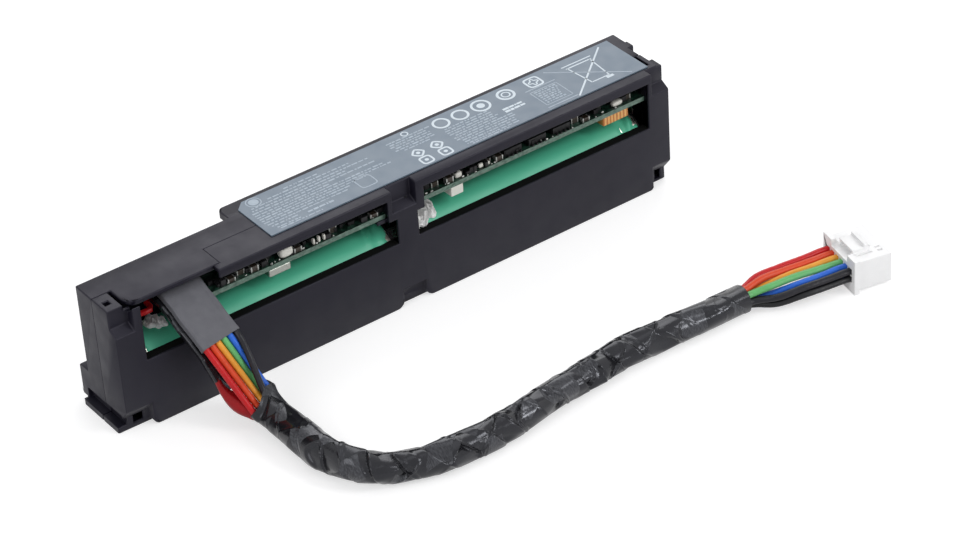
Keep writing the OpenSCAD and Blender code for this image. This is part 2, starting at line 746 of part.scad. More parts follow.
// and the way from the round cable to the connector
function fan_points(w) =
  let (n = cable_last,
       fl = frames([cable_route[n - 1], cable_route[n]], [0, 1, 0])[1],
       up = [0, 0, 1],
       a = cable_route[n] + w[3][0] * fl[1] + w[3][1] * up,
       row = [-plug_dir[1], plug_dir[0], 0],
       b = plug_at + ((contacts_n - 1) / 2 - w[5]) * pitch * row + row_z[w[6]] * up + 1.2 * plug_dir,
       m = fan_mid + w[4][0] * [0, 1, 0] + w[4][1] * up,
       swell = 0.12 * [0, w[3][0] + w[4][0], w[3][1] + w[4][1]])
  [a, a + 1.2 * leave_dir, 0.5 * (a + m) + swell, m, 0.5 * (m + b), b - 3 * plug_dir, b];

module wire(i, c) {
  color(c) {
    tube(drop_points(WIRE[i], i > 5), wire_d, 8);
    tube(fan_points(WIRE[i]), wire_d, 8);
  }
}

module wire_red() { wire(0, [0.8, 0.12, 0.1]); }
module wire_orange() { wire(1, [0.88, 0.3, 0.1]); }
module wire_yellow() { wire(2, [0.92, 0.66, 0.15]); }
module wire_green() { wire(3, [0.35, 0.62, 0.3]); }
module wire_blue() { wire(4, [0.15, 0.35, 0.8]); }
module wire_black() { wire(5, [0.08, 0.08, 0.1]); }
module wire_dark_red() { wire(6, [0.5, 0.04, 0.05]); }
module wire_black_low() { wire(7, [0.08, 0.08, 0.1]); }

// The wrapped cable, flat where it takes the wires in and round further on
module cable_sleeve() {
  fr = frames(cable_route, [1, 0, 0]);
  color([0.14, 0.14, 0.15]) sweep(fr, [for (i = [0 : cable_last])
    let (q = i < len(cable_start) ? cable_start[i] / 7 * cable_d : [cable_d, cable_d])
    oval(q[0], min(q[1], 2 * fr[i][0][2] - 0.02), 12)]);
}

// ---- connector ----
module at_plug() {
  translate(plug_at) rotate([0, 0, plug_turn]) children();
}

module chambers(x0, x1, w, h) {
  for (i = [0 : contacts_n - 1], z = row_z)
    translate([x0, ((contacts_n - 1) / 2 - i) * pitch - w / 2, z - h / 2]) cube([x1 - x0, w, h]);
}

module connector_housing() {
  body_w = contacts_n * pitch + 1;
  flange_w = body_w + 1.4;
  top = plug_h - 0.8;                // top of the body behind the flange
  color([0.93, 0.93, 0.92]) at_plug() difference() {
    union() {
      translate([0, -flange_w / 2, 0]) cube([flange_t, flange_w, plug_h]);
      translate([flange_t - eps, -body_w / 2, 0.6]) cube([plug_l - flange_t + eps, body_w, top - 0.6]);
      // latch block on the body and the hook at its end
      translate([flange_t + 0.4, -3, top - eps]) cube([4.6, 6, 1]);
      translate([flange_t + 3.4, 3, top + 1 - 2 * eps]) rotate([90, 0, 0]) linear_extrude(6)
        polygon([[0, 0], [0, 0.9], [1.6, 0]]);
    }
    chambers(-1, plug_l + 1, chamber, chamber);
    // the flange stands up in two ears beside the latch
    translate([-1, -3.6, top - 0.9]) cube([flange_t + 1.1, 7.2, 3]);
    // recess in the latch block's face, over the wires
    translate([flange_t - 1, -2.2, top - 0.9]) cube([2.6, 4.4, 1.5]);
    // slots beside the latch and at the mating end
    for (s = [-1, 1]) translate([flange_t + 1, s * 3.9 - 0.3, top - 0.5]) cube([4, 0.6, 2]);
    for (y = [-4.4, -3.1]) translate([plug_l - 2.2, y, top - 0.6]) cube([1.2, 0.7, 2]);
  }
}

module connector_contacts() {
  color(nickel) at_plug() translate([0, 0, -chamber / 2 + 0.6])
    for (w = WIRE)
      translate([1.2, ((contacts_n - 1) / 2 - w[5]) * pitch - chamber / 2, row_z[w[6]] - 0.6])
        cube([plug_l - 2, chamber, 1.2]);
}

front_shell();
back_shell();
label();
cell_can_left();
cell_can_right();
cell_sleeve_left();
cell_sleeve_right();
cell_washer_left();
cell_washer_right();
nickel_link();
nickel_tab_left();
nickel_tab_right();
glue_left();
glue_middle();
circuit_board();
controller_chip();
gauge_chip();
power_switches();
choke();
chip_capacitors();
chip_resistors();
white_top_parts();
metal_fuse();
white_block();
amber_capacitor();
potting_block();
foam_pad();
gasket_left();
gasket_right();
sense_wire();
tape_wrap();
tape_strip();
wire_dark_red();
wire_red();
wire_orange();
wire_yellow();
wire_green();
wire_blue();
wire_black();
wire_black_low();
cable_sleeve();
connector_housing();
connector_contacts();
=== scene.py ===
import math

import bmesh
import bpy
import numpy as np
from mathutils import Matrix


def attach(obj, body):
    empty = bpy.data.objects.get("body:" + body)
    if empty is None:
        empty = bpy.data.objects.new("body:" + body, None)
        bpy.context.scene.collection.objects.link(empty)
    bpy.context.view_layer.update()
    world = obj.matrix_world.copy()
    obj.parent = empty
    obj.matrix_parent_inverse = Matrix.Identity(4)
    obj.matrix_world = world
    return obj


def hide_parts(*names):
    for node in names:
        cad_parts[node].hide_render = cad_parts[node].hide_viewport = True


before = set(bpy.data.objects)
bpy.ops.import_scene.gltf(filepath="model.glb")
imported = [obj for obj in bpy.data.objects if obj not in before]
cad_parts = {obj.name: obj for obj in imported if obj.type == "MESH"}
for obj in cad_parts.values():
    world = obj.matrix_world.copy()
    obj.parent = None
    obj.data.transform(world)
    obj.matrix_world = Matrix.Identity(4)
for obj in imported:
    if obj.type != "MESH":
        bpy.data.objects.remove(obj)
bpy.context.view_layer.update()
scene = bpy.context.scene
MM = 0.001
SAME = 1e-7                             # points this near to one another are one, in metres
CAD_SAME = 2e-6                         # and in the part's own meshes

# ---- values shared with the part's source, in millimetres ----
ORIGIN = np.array([75.4, 10.1, 0.0])    # the case's left front corner, from the frame's origin
BODY_H = 32.1                           # the case's height

# the harness: the flat tape's route, the loose wires' and the cable's, with the
# cable's width and height at its first places
RIBBON_ROUTE = [(-56, -1.5, 28), (-56, -4.5, 28), (-55.7, -9, 26), (-55.1, -13.5, 23),
                (-54.4, -17.6, 19.9)]
BUNDLE_MID = [(-53.4, -19.6, 16.5), (-52.4, -20.5, 13.1), (-51.3, -21.3, 10.1)]
CABLE_ROUTE = [(-50, -23.4, 6.9), (-49.6, -25.5, 5.4), (-49.4, -30, 4.3), (-49.2, -35.7, 4.1),
               (-49, -41.5, 4), (-48.6, -47.9, 4), (-46.5, -53.9, 4), (-42.1, -58.9, 3.8),
               (-34.8, -62.5, 3.7), (-25.3, -64.4, 3.5), (-13.3, -64, 3.5), (-1.3, -62.5, 3.5),
               (10.7, -61, 3.5), (22.7, -60, 3.5), (34.7, -60.4, 3.5), (45.2, -61.2, 3.5),
               (55.3, -61.4, 3.5)]
CABLE_START = [(9.2, 5.6), (7.6, 6), (7, 6.6), (7.4, 7.2), (7.9, 7.6), (8, 7.8), (7.9, 7.6), (7.5, 7.3)]
CABLE_D, WIRE_D, WIRE_PITCH = 7.0, 1.5, 1.64
RIBBON_W, RIBBON_T = 10.2, 2.1
STRIP_W, STRIP_T = 3.5, 1.8
ROW_UP = 1.6 - RIBBON_T / 2                          # the upper wires over the drawn route
ROW_LOW = 1.6 - RIBBON_T - 0.02 - STRIP_T / 2        # the lower strip over it
STRIP_S = -RIBBON_W / 2 - 0.7 + STRIP_W / 2          # the lower strip's middle, across

# the fan of wires, and the connector's place and direction on the floor
FAN_MID = np.array([67.2, -64.2, 4.5])
PLUG_AT = np.array([79.7, -66.5, 0])
PLUG_TURN = math.radians(-12)
PLUG_DIR = np.array([math.cos(PLUG_TURN), math.sin(PLUG_TURN), 0])
PITCH, CONTACTS, ROW_Z = 2.0, 6, (5.5, 3.5)

# in the case's own frame: the cells' axis and starts, the board, and the print
AXIS_Y, AXIS_Z, CELL_D, CELL_L = 7.8, 13.1, 13.8, 65.0
CELL_X, CELL2_X = 8.3, 79.7
BOARD_X, BOARD_L, BOARD_Z, BOARD_T = 25.2, 120.6, 24.8, 1.2
BOARD_TOP = BOARD_Z + BOARD_T
PRINT_Z, PRINT_T = BODY_H + 0.301, 0.022             # its middle and its thickness

# Each wire's places across and above its drawn route, where it leaves its tape,
# where it enters the cable, where it comes out and in the fan's middle; its
# column and row in the connector; and, on its way down to the cable, how far it
# rides over its neighbours, how far it bows out and how much it swells.
WIRE_KEYS = ("tape_end", "mouth", "cable_end", "fan", "column", "row", "lift", "bow", "swell")
WIRES = {name: dict(zip(WIRE_KEYS, values)) for name, values in {
    "red": ((-4.1, ROW_UP), (-3.5, 0), (1.5, 1.15), (4.4, 1), 0, 0, 0, 0, 0),
    "orange": ((-2.46, ROW_UP), (-1.85, 0.05), (0.1, 1.9), (2.7, 1.1), 1, 0, 0, 0, 0),
    "yellow": ((-0.82, ROW_UP), (-0.2, 0.15), (0, 0.1), (0.9, 0.8), 2, 0, 0, 0, 0),
    "green": ((0.82, ROW_UP), (1.45, -0.55), (-1.35, 1.25), (-0.9, 1.2), 3, 0, 0, 0, 0),
    "blue": ((2.46, ROW_UP), (2.75, 0.45), (0.95, -1.7), (-2.7, 0.3), 4, 0, 0, 0, 0),
    "black": ((4.15, ROW_UP), (0.8, 1.85), (-1.95, -0.35), (-4.6, 0.4), 5, 0, 1.1, 0, 0),
    "dark_red": ((STRIP_S - 0.85, ROW_LOW), (-3.3, -1.45), (1.95, -0.45), (5, -0.7), 0, 1, -0.35, -0.38, 1.5),
    "black_low": ((STRIP_S + 0.85, ROW_LOW), (4.1, -0.75), (-0.85, -1.9), (-4.9, -1.3), 5, 1, -0.9, 0, 0),
}.items()}

# ---- camera, floor and sky ----
AZIMUTH, ELEVATION, ROLL = -34.407, 34.967, -3.827      # degrees
CAMERA_AT = (-0.3433, -0.5410, 0.4503)                  # metres
LENS, SENSOR = 127.1, 36                                # millimetres
SKY_SEEN, SKY_LIT = (1, 1, 1), (0.40, 0.40, 0.41)       # as the camera sees it, and as it lights
FLOOR_HALF, FLOOR_GREY, FLOOR_GLOW = 6, (0.66, 0.66, 0.66), (0.55, 0.55, 0.55)


def unit(v):
    """v, or every row of v, at length one."""
    v = np.asarray(v, float)
    return v / np.linalg.norm(v, axis=-1, keepdims=True)


def linked(name, data):
    """An object with the given data, put in the scene."""
    obj = bpy.data.objects.new(name, data)
    scene.collection.objects.link(obj)
    return obj


def axes_at(right, up, back, at):
    """The matrix of an object at a place, with its own three axes along right, up and back."""
    return Matrix([[right[i], up[i], back[i], at[i]] for i in range(3)] + [[0, 0, 0, 1]])


def aim_camera():
    """The camera at its azimuth, elevation and roll: back points from the object to it."""
    a, e, r = math.radians(AZIMUTH), math.radians(ELEVATION), math.radians(ROLL)
    back = np.array([math.sin(a) * math.cos(e), -math.cos(a) * math.cos(e), math.sin(e)])
    level = unit(np.cross(-back, (0, 0, 1)))
    over = np.cross(level, -back)
    right = math.cos(r) * level + math.sin(r) * over
    up = -math.sin(r) * level + math.cos(r) * over
    data = bpy.data.cameras.new("camera")
    data.lens = LENS
    data.sensor_width = SENSOR
    data.clip_start, data.clip_end = 0.05, 20
    scene.camera = linked("camera", data)
    scene.camera.matrix_world = axes_at(right, up, back, CAMERA_AT)


aim_camera()


# ---- paths and surfaces ----
def hermite(t, pull, a, leave, b, enter):
    """The cubic curve from a to b, for t from 0 to 1: it leaves a along leave and comes into b along
    enter, both times the pull."""
    return ((2 * t**3 - 3 * t**2 + 1) * a + (t**3 - 2 * t**2 + t) * pull * leave
            + (3 * t**2 - 2 * t**3) * b + (t**3 - t**2) * pull * enter)


def spline(points, n):
    """n evenly spaced places on a smooth curve through the points: a cubic Hermite curve whose slopes
    are the chord-weighted means of the neighbouring slopes."""
    p = np.array(points, float)
    h = np.linalg.norm(np.diff(p, axis=0), axis=1)
    slope = np.diff(p, axis=0) / h[:, None]
    mean = (slope[1:] * h[:-1, None] + slope[:-1] * h[1:, None]) / (h[1:] + h[:-1])[:, None]
    m = np.vstack([slope[:1], mean, slope[-1:]])
    t = np.linspace(0, len(h), 60 * len(h) + 1)
    k = np.minimum(t.astype(int), len(h) - 1)
    q = hermite((t - k)[:, None], h[k][:, None], p[k], m[k], p[k + 1], m[k + 1])
    s = run(q)
    even = np.linspace(0, s[-1], n)
    return np.stack([np.interp(even, s, q[:, i]) for i in range(3)], axis=1)


def run(path):
    """Distance along a path at each of its places."""
    return np.concatenate([[0], np.cumsum(np.linalg.norm(np.diff(path, axis=0), axis=1))])


def sides(path, flat):
    """Side and up vectors at each place. A flat path lies along the floor, so its side is the floor's
    normal crossed with the tangent; otherwise the side is the x axis less its part along the tangent."""
    t = unit(np.gradient(path, axis=0))
    if flat:
        side = unit(np.cross((0, 0, 1), t))
    else:
        x = np.array([1.0, 0, 0])
        side = unit(x - (t @ x)[:, None] * t)
    return side, np.cross(t, side)


def x_square_to(direction):
    """The x axis less its part along a direction."""
    return unit(np.array([1.0, 0, 0]) - direction[0] * direction)


def weld(mesh):
    """Merges the coinciding points at seams and poles, and turns every face outwards."""
    bm = bmesh.new()
    bm.from_mesh(mesh)
    bmesh.ops.remove_doubles(bm, verts=bm.verts, dist=SAME)
    bmesh.ops.dissolve_degenerate(bm, edges=bm.edges, dist=SAME)
    bmesh.ops.recalc_face_normals(bm, faces=bm.faces)
    bm.to_mesh(mesh)
    bm.free()


def piece(name, points, faces, material, smooth=40, welded=True, stands_for=()):
    """A finished piece: its mesh from whole arrays, its finish, its body and the nodes it stands for."""
    mesh = bpy.data.meshes.new(name)
    mesh.from_pydata(points.reshape(-1, 3).tolist(), [], faces.tolist())
    if welded:
        weld(mesh)
    mesh.shade_smooth()
    mesh.set_sharp_from_angle(angle=math.radians(smooth))
    mesh.materials.append(material)
    obj = linked(name, mesh)
    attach(obj, "root")
    if stands_for:
        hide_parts(*stands_for)
    return obj


def grid_faces(nu, nv, close_u=False, close_v=False):
    """Quads of a grid of nu by nv points, joined round where a direction closes."""
    u = np.arange(nu if close_u else nu - 1)
    v = np.arange(nv if close_v else nv - 1)
    u, v = np.meshgrid(u, v, indexing="ij")
    a, b = u * nv + v, (u + 1) % nu * nv + v
    c, d = (u + 1) % nu * nv + (v + 1) % nv, u * nv + (v + 1) % nv
    return np.stack([a, b, c, d], axis=-1).reshape(-1, 4)


def joined(parts):
    """Several (points, faces) pairs as one."""
    points, faces, start = [], [], 0
    for p, f in parts:
        p = np.asarray(p).reshape(-1, 3)
        points.append(p)
        faces.append(np.asarray(f) + start)
        start += len(p)
    return np.concatenate(points), np.concatenate(faces)


def carried(path, outline, flat):
    """A profile carried along a path: outline[i, j] is the place of point j of ring i across and above it."""
    side, up = sides(path, flat)
    return path[:, None] + outline[..., :1] * side[:, None] + outline[..., 1:] * up[:, None]


def tube(path, outline, flat):
    """A profile carried along a path, with each end drawn to its middle."""
    p = carried(path, outline, flat)
    ends = [np.repeat(p[i].mean(axis=0)[None], p.shape[1], axis=0)[None] for i in (0, -1)]
    p = np.concatenate([ends[0], p, ends[1]])
    return p, grid_faces(p.shape[0], p.shape[1], close_v=True)


def signed_power(q, power):
    """q raised to a power with its sign kept: on sines and cosines a power below one squares a round off."""
    return np.sign(q) * np.abs(q)**power


def ring_angles(k):
    """k even steps round a ring, the first half a step in."""
    return 2 * np.pi * (np.arange(k) + 0.5) / k


def rings(n, k, width, height, power=1.0):
    """n rings of k points on an oval of the given width and height, squarer as power falls below one."""
    a = ring_angles(k)
    w, h = np.broadcast_to(width, n)[:, None] / 2, np.broadcast_to(height, n)[:, None] / 2
    return np.stack([w * signed_power(np.cos(a), power), h * signed_power(np.sin(a), power)], axis=-1)


def ramp(x, low, high):
    """0 below low, 1 above high, and a smooth step between."""
    t = np.clip((np.asarray(x, float) - low) / (high - low), 0, 1)
    return t * t * (3 - 2 * t)


def ripple(a, b, seed, waves=9, reach=(1, 6)):
    """A smooth uneven field of two coordinates, between about -1 and 1: a sum of sine waves in seeded
    directions whose steps per unit are drawn from reach."""
    r = np.random.default_rng(seed)
    out = 0
    for f, turn, phase in zip(r.uniform(*reach, waves), r.uniform(0, np.pi, waves), r.uniform(0, 6.3, waves)):
        out = out + np.sin(f * (np.cos(turn) * a + np.sin(turn) * b) + phase) / waves**0.5
    return out


def blocks(centres, sizes):
    """Boxes from their centres and sizes, as one set of points and faces."""
    c, s = np.atleast_2d(centres).astype(float), np.atleast_2d(sizes).astype(float)
    corner = np.array([[x, y, z] for x in (-0.5, 0.5) for y in (-0.5, 0.5) for z in (-0.5, 0.5)])
    quads = np.array([[0, 1, 3, 2], [4, 6, 7, 5], [0, 4, 5, 1], [2, 3, 7, 6], [0, 2, 6, 4], [1, 5, 7, 3]])
    points = c[:, None] + s[:, None] * corner
    faces = quads[None] + 8 * np.arange(len(c))[:, None, None]
    return points.reshape(-1, 3), faces.reshape(-1, 4)


def beads(centres, sizes, power, nu=7, nv=12):
    """Rounded lumps from their centres and sizes: the unit ball's latitudes and longitudes with sines
    and cosines raised to a power below one, which squares it, scaled and moved."""
    u = np.linspace(-np.pi / 2, np.pi / 2, nu)[:, None]
    v = 2 * np.pi * np.arange(nv)[None] / nv
    cu, su, cv, sv = (signed_power(q, power) for q in (np.cos(u), np.sin(u), np.cos(v), np.sin(v)))
    ball = np.stack([cu * cv, cu * sv, su + 0 * cv], axis=-1) / 2
    c, s = np.atleast_2d(centres).astype(float), np.atleast_2d(sizes).astype(float)
    points = c[:, None, None] + s[:, None, None] * ball
    faces = grid_faces(nu, nv, close_v=True)[None] + nu * nv * np.arange(len(c))[:, None, None]
    return points.reshape(-1, 3), faces.reshape(-1, 4)


def cased(points):
    """Points in the case's own frame, in millimetres, as metres in the row frame."""
    return (np.asarray(points, float) - ORIGIN) * MM


def about_axis(x, r, a):
    """The place x along the cells, r from their axis, turned by a from the top towards the front."""
    return np.stack(np.broadcast_arrays(x, AXIS_Y - r * np.sin(a), AXIS_Z + r * np.cos(a)), axis=-1)


def scatter(seed, *ranges, n):
    """n seeded places, evenly random in each range, as columns."""
    r = np.random.default_rng(seed)
    return np.stack([r.uniform(low, high, n) for low, high in ranges], axis=-1)


def moulded(node, name, material, width, segments=2, clamp=False, flats=True, sharp_below=0.0):
    """A copy of a CAD node with its edges rounded by width. Its triangles are merged into flats first,
    where flats is asked for. Its inner corners stay sharp below the height sharp_below."""
    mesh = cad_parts[node].data.copy()
    mesh.name = name
    corner = math.radians(30)
    bm = bmesh.new()
    bm.from_mesh(mesh)
    bmesh.ops.remove_doubles(bm, verts=bm.verts, dist=CAD_SAME)
    if flats:
        bmesh.ops.dissolve_limit(bm, angle_limit=math.radians(1), verts=bm.verts, edges=bm.edges)
    bmesh.ops.recalc_face_normals(bm, faces=bm.faces)
    rounded = bm.edges.layers.float.new("bevel_weight_edge")
    for edge in bm.edges:
        low = max(v.co.z for v in edge.verts) < sharp_below * MM
        edge[rounded] = float(edge.calc_face_angle(0) > corner and (edge.is_convex or not low))
    bm.to_mesh(mesh)
    bm.free()
    mesh.shade_smooth()
    mesh.set_sharp_from_angle(angle=math.radians(35))
    mesh.materials.clear()
    mesh.materials.append(material)
    obj = linked(name, mesh)
    edges = obj.modifiers.new("edges", "BEVEL")
    edges.width = width * MM
    edges.segments = segments
    edges.limit_method = "WEIGHT" if sharp_below else "ANGLE"
    edges.angle_limit = corner
    edges.use_clamp_overlap = clamp
    edges.harden_normals = True
    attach(obj, "root")
    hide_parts(node)
    return obj


# ---- materials ----
class Finish:
    """One material and short ways to add its nodes. Patterns are in Object coordinates."""

    def __init__(self, name, colour, rough, metal=0.0, **inputs):
        self.m = bpy.data.materials.new(name)
        self.m.use_nodes = True
        self.tree = self.m.node_tree
        self.shader = self.tree.nodes["Principled BSDF"]
        self.shader.inputs["Base Color"].default_value = (*colour, 1)
        self.shader.inputs["Roughness"].default_value = rough
        self.shader.inputs["Metallic"].default_value = metal
        for key, value in inputs.items():
            self.shader.inputs[key.replace("_", " ")].default_value = value
        self.coords = self.tree.nodes.new("ShaderNodeTexCoord")

    def node(self, kind, links=(), **values):
        """A node with its values and its incoming links: (input, output) pairs."""
        n = self.tree.nodes.new(kind)
        for key, value in values.items():
            if hasattr(n, key):
                setattr(n, key, value)
            else:
                n.inputs[key.replace("_", " ")].default_value = value
        for key, output in links:
            self.tree.links.new(output, n.inputs[key])
        return n

    def at(self, scale=(1, 1, 1)):
        """Object coordinates, scaled."""
        n = self.node("ShaderNodeMapping", [("Vector", self.coords.outputs["Object"])], Scale=scale)
        return n.outputs["Vector"]

    def noise(self, size_mm, detail, scale=(1, 1, 1), distortion=0.0):
        """Cloudy noise whose features are about size_mm across, and less along an axis scaled up."""
        return self.node("ShaderNodeTexNoise", [("Vector", self.at(scale))], Scale=1 / (size_mm * MM),
                         Detail=detail, Distortion=distortion).outputs["Fac"]

    def ramp(self, source, *stops):
        """Colours or greys along source: stops are (position, grey or colour)."""
        n = self.node("ShaderNodeValToRGB", [("Fac", source)])
        while len(n.color_ramp.elements) < len(stops):
            n.color_ramp.elements.new(0.5)
        for e, (position, colour) in zip(n.color_ramp.elements, stops):
            e.position = position
            e.color = (*colour, 1) if isinstance(colour, tuple) else (colour, colour, colour, 1)
        return n.outputs["Color"]

    def put(self, value, socket):
        """Feeds a socket from an output, a colour or a number."""
        if isinstance(value, bpy.types.NodeSocket):
            self.tree.links.new(value, socket)
        else:
            socket.default_value = (*value, 1) if isinstance(value, tuple) else value

    def mix(self, fac, a, b):
        """a mixed with b by fac; a and b are outputs or colours."""
        n = self.node("ShaderNodeMix", data_type="RGBA")
        for i, value in ((0, fac), (6, a), (7, b)):
            self.put(value, n.inputs[i])
        return n.outputs[2]

    def maths(self, what, a, b=0.0):
        """One arithmetic step on outputs or numbers."""
        n = self.node("ShaderNodeMath", operation=what)
        self.put(a, n.inputs[0])
        self.put(b, n.inputs[1])
        return n.outputs[0]

    def colour(self, output):
        """Takes the base colour from an output."""
        self.tree.links.new(output, self.shader.inputs["Base Color"])

    def rough(self, output):
        """Takes the roughness from an output."""
        self.tree.links.new(output, self.shader.inputs["Roughness"])

    def bump(self, height, distance_mm, strength=1.0):
        """Adds relief to what the finish has already; distance_mm is how deep it goes."""
        n = self.node("ShaderNodeBump", [("Height", height)], Strength=strength, Distance=distance_mm * MM)
        last = self.shader.inputs["Normal"].links
        if last:
            self.tree.links.new(last[0].from_socket, n.inputs["Normal"])
        self.tree.links.new(n.outputs["Normal"], self.shader.inputs["Normal"])


def case_plastic():
    """Near-black moulded plastic with a bluish cloud and a fine grain."""
    f = Finish("case_plastic", (0.005, 0.0048, 0.006), 0.45, IOR=1.365, Specular_Tint=(0.88, 0.86, 1.0, 1))
    f.colour(f.mix(f.noise(14, 3), (0.003, 0.0028, 0.0062), (0.006, 0.0054, 0.0115)))
    f.rough(f.ramp(f.noise(5, 4), (0.3, 0.40), (0.7, 0.52)))
    f.bump(f.noise(0.22, 2), 0.02, 0.35)
    return f.m


def plain(name, colour, rough, metal=0.0, cloud=0.12, size=2.0, bump=0.02, **inputs):
    """A finish of one hue with soft variation in tone, roughness and relief."""
    f = Finish(name, colour, rough, metal, **inputs)
    low, high = (tuple(c * k for c in colour) for k in (1 - cloud, 1 + cloud))
    f.colour(f.mix(f.noise(size, 3), low, high))
    f.rough(f.ramp(f.noise(size * 0.6, 3), (0.3, rough * 0.85), (0.7, min(1, rough * 1.15))))
    f.bump(f.noise(size * 0.25, 3), bump, 0.5)
    return f.m


def label_paper():
    """The label's slate-blue face, faintly mottled."""
    f = Finish("label_paper", (0.150, 0.200, 0.255), 0.42)
    f.colour(f.mix(f.noise(26, 2), (0.128, 0.173, 0.226), (0.147, 0.197, 0.254)))
    f.rough(f.ramp(f.noise(3, 3), (0.3, 0.36), (0.7, 0.48)))
    f.bump(f.noise(0.9, 3), 0.01, 0.4)
    return f.m


def sleeve_green():
    """Shiny green skin whose tone and ripples run along the cells."""
    f = Finish("sleeve_green", (0.045, 0.29, 0.17), 0.40, Specular_IOR_Level=0.35)
    f.colour(f.mix(f.noise(9, 2, (0.35, 1, 1)), (0.072, 0.435, 0.268), (0.094, 0.51, 0.325)))
    f.rough(f.ramp(f.noise(4, 3), (0.3, 0.34), (0.7, 0.46)))
    f.bump(f.noise(2.4, 3, (0.3, 1, 1)), 0.05, 0.5)
    return f.m


def board_finish():
    """Dark mask with faint lighter copper areas on the flats, and pale fibre on the cut edges."""
    f = Finish("board_finish", (0.015, 0.09, 0.05), 0.35)
    parts = f.node("ShaderNodeSeparateXYZ", [("Vector", f.coords.outputs["Normal"])])
    flat = f.ramp(f.maths("ABSOLUTE", parts.outputs["Z"]), (0.4, 0.0), (0.6, 1.0))
    copper = f.ramp(f.noise(1.1, 2), (0.50, 0.0), (0.56, 1.0))
    mask = f.mix(copper, (0.004, 0.014, 0.009), (0.016, 0.055, 0.036))
    strands = f.ramp(f.noise(0.5, 4, (0.45, 1, 1)), (0.30, 0.0), (0.72, 1.0))
    fibre = f.mix(strands, (0.035, 0.075, 0.055), (0.15, 0.235, 0.185))
    f.colour(f.mix(flat, fibre, mask))
    f.rough(f.ramp(f.noise(1.4, 2), (0.3, 0.28), (0.7, 0.5)))
    f.bump(f.noise(0.3, 3), 0.03, 0.5)
    return f.m


def cable_tape():
    """Glossy black tape that lies in slanted patches: inside each cell of a Voronoi pattern the height
    grows along that cell's own seeded direction. Some patches carry a painted highlight: a paler, streaked
    grey in their colour that stands in for glints."""
    patch_mm, steep = 5.2, 0.36
    f = Finish("cable_tape", (0.010, 0.010, 0.011), 0.24, Specular_IOR_Level=0.4,
               Specular_Tint=(0.9, 0.92, 1.0, 1))
    place = f.at((1, 1, 0.75))
    cells = f.node("ShaderNodeTexVoronoi", [("Vector", place)], Scale=1 / (patch_mm * MM))
    centred = f.node("ShaderNodeVectorMath", [(0, cells.outputs["Color"])], operation="SUBTRACT")
    centred.inputs[1].default_value = (0.5, 0.5, 0.5)
    offset = f.node("ShaderNodeVectorMath", [(0, place), (1, cells.outputs["Position"])],
                    operation="SUBTRACT")
    slant = f.node("ShaderNodeVectorMath", [(0, centred.outputs[0]), (1, offset.outputs[0])],
                   operation="DOT_PRODUCT")
    drawn = f.node("ShaderNodeSeparateXYZ", [("Vector", cells.outputs["Color"])])
    # painted highlight: some cells, streaked, get a paler grey base colour in place of their glints
    streaks = f.ramp(f.noise(0.5, 3, (3, 0.6, 0.6)), (0.35, 0.1), (0.65, 1.0))
    painted_highlight = f.maths("MULTIPLY", f.ramp(drawn.outputs["Y"], (0.66, 0.0), (0.82, 1.0)), streaks)
    clear = f.mix(f.noise(5, 3), (0.003, 0.003, 0.004), (0.016, 0.016, 0.019))
    f.colour(f.mix(painted_highlight, clear, (0.062, 0.064, 0.071)))
    f.rough(f.ramp(f.noise(3.2, 3), (0.35, 0.13), (0.65, 0.27)))
    f.bump(slant.outputs["Value"], 1000 * steep)
    f.bump(f.noise(0.45, 4, distortion=0.4), 0.04, 0.5)
    return f.m


def cloth_tape():
    """Matt dark cloth: two crossed families of fine threads over a broader unevenness."""
    f = Finish("cloth_tape", (0.10, 0.10, 0.107), 0.62, Sheen_Weight=0.1)
    weave = f.maths("MULTIPLY", f.noise(0.12, 2, (1, 5, 5)), f.noise(0.12, 2, (5, 1, 1)))
    f.colour(f.mix(f.noise(2.5, 4), (0.080, 0.081, 0.094), (0.124, 0.125, 0.143)))
    f.rough(f.ramp(f.noise(1.5, 3), (0.3, 0.55), (0.7, 0.72)))
    f.bump(weave, 0.06, 0.6)
    f.bump(f.noise(2.6, 3), 0.12, 0.35)
    return f.m


def wire_jacket(name, colour):
    """Soft plastic of one hue, a little darker and lighter in places."""
    f = Finish(name, colour, 0.3, Specular_IOR_Level=0.25)
    low, high = (tuple(c * k for c in colour) for k in (0.86, 1.12))
    f.colour(f.mix(f.noise(2.2, 2), low, high))
    f.rough(f.ramp(f.noise(0.8, 3), (0.3, 0.26), (0.7, 0.42)))
    f.bump(f.noise(0.35, 3), 0.02, 0.5)
    return f.m


def amber_film():
    """Amber plastic with the darker edges of its layers across it."""
    f = Finish("amber_case", (0.56, 0.25, 0.045), 0.3)
    layers = f.node("ShaderNodeTexWave", [("Vector", f.at())], wave_type="BANDS", bands_direction="X",
                    Scale=1 / (3.1 * MM), Distortion=1.6, Detail=2)
    f.colour(f.mix(layers.outputs["Fac"], (0.42, 0.12, 0.012), (0.75, 0.42, 0.12)))
    f.bump(layers.outputs["Fac"], 0.05, 0.5)
    return f.m


CASE = case_plastic()
PAPER = label_paper()
GREEN = sleeve_green()
BOARD = board_finish()
TAPE, CLOTH = cable_tape(), cloth_tape()
INK = plain("pale_print", (0.64, 0.72, 0.78), 0.5, cloud=0.08)
FAINT_INK = plain("faint_print", (0.36, 0.43, 0.50), 0.5, cloud=0.2, size=1.4)
STEEL = plain("nickel", (0.66, 0.63, 0.57), 0.28, 1.0, cloud=0.1, size=1.2)
EPOXY = plain("chip_epoxy", (0.010, 0.010, 0.011), 0.5, size=0.6, Specular_IOR_Level=0.3)
GLUE = plain("glue_white", (0.94, 0.94, 0.93), 0.3, cloud=0.1, size=0.7, bump=0.12)
FUSE = plain("fuse_metal", (0.34, 0.35, 0.32), 0.36, 1.0, cloud=0.12, size=0.8)
SOLDER = plain("dull_solder", (0.42, 0.43, 0.41), 0.45, 0.8, cloud=0.3, size=0.5)
TAN = plain("capacitor_brown", (0.030, 0.022, 0.015), 0.4, size=0.6)
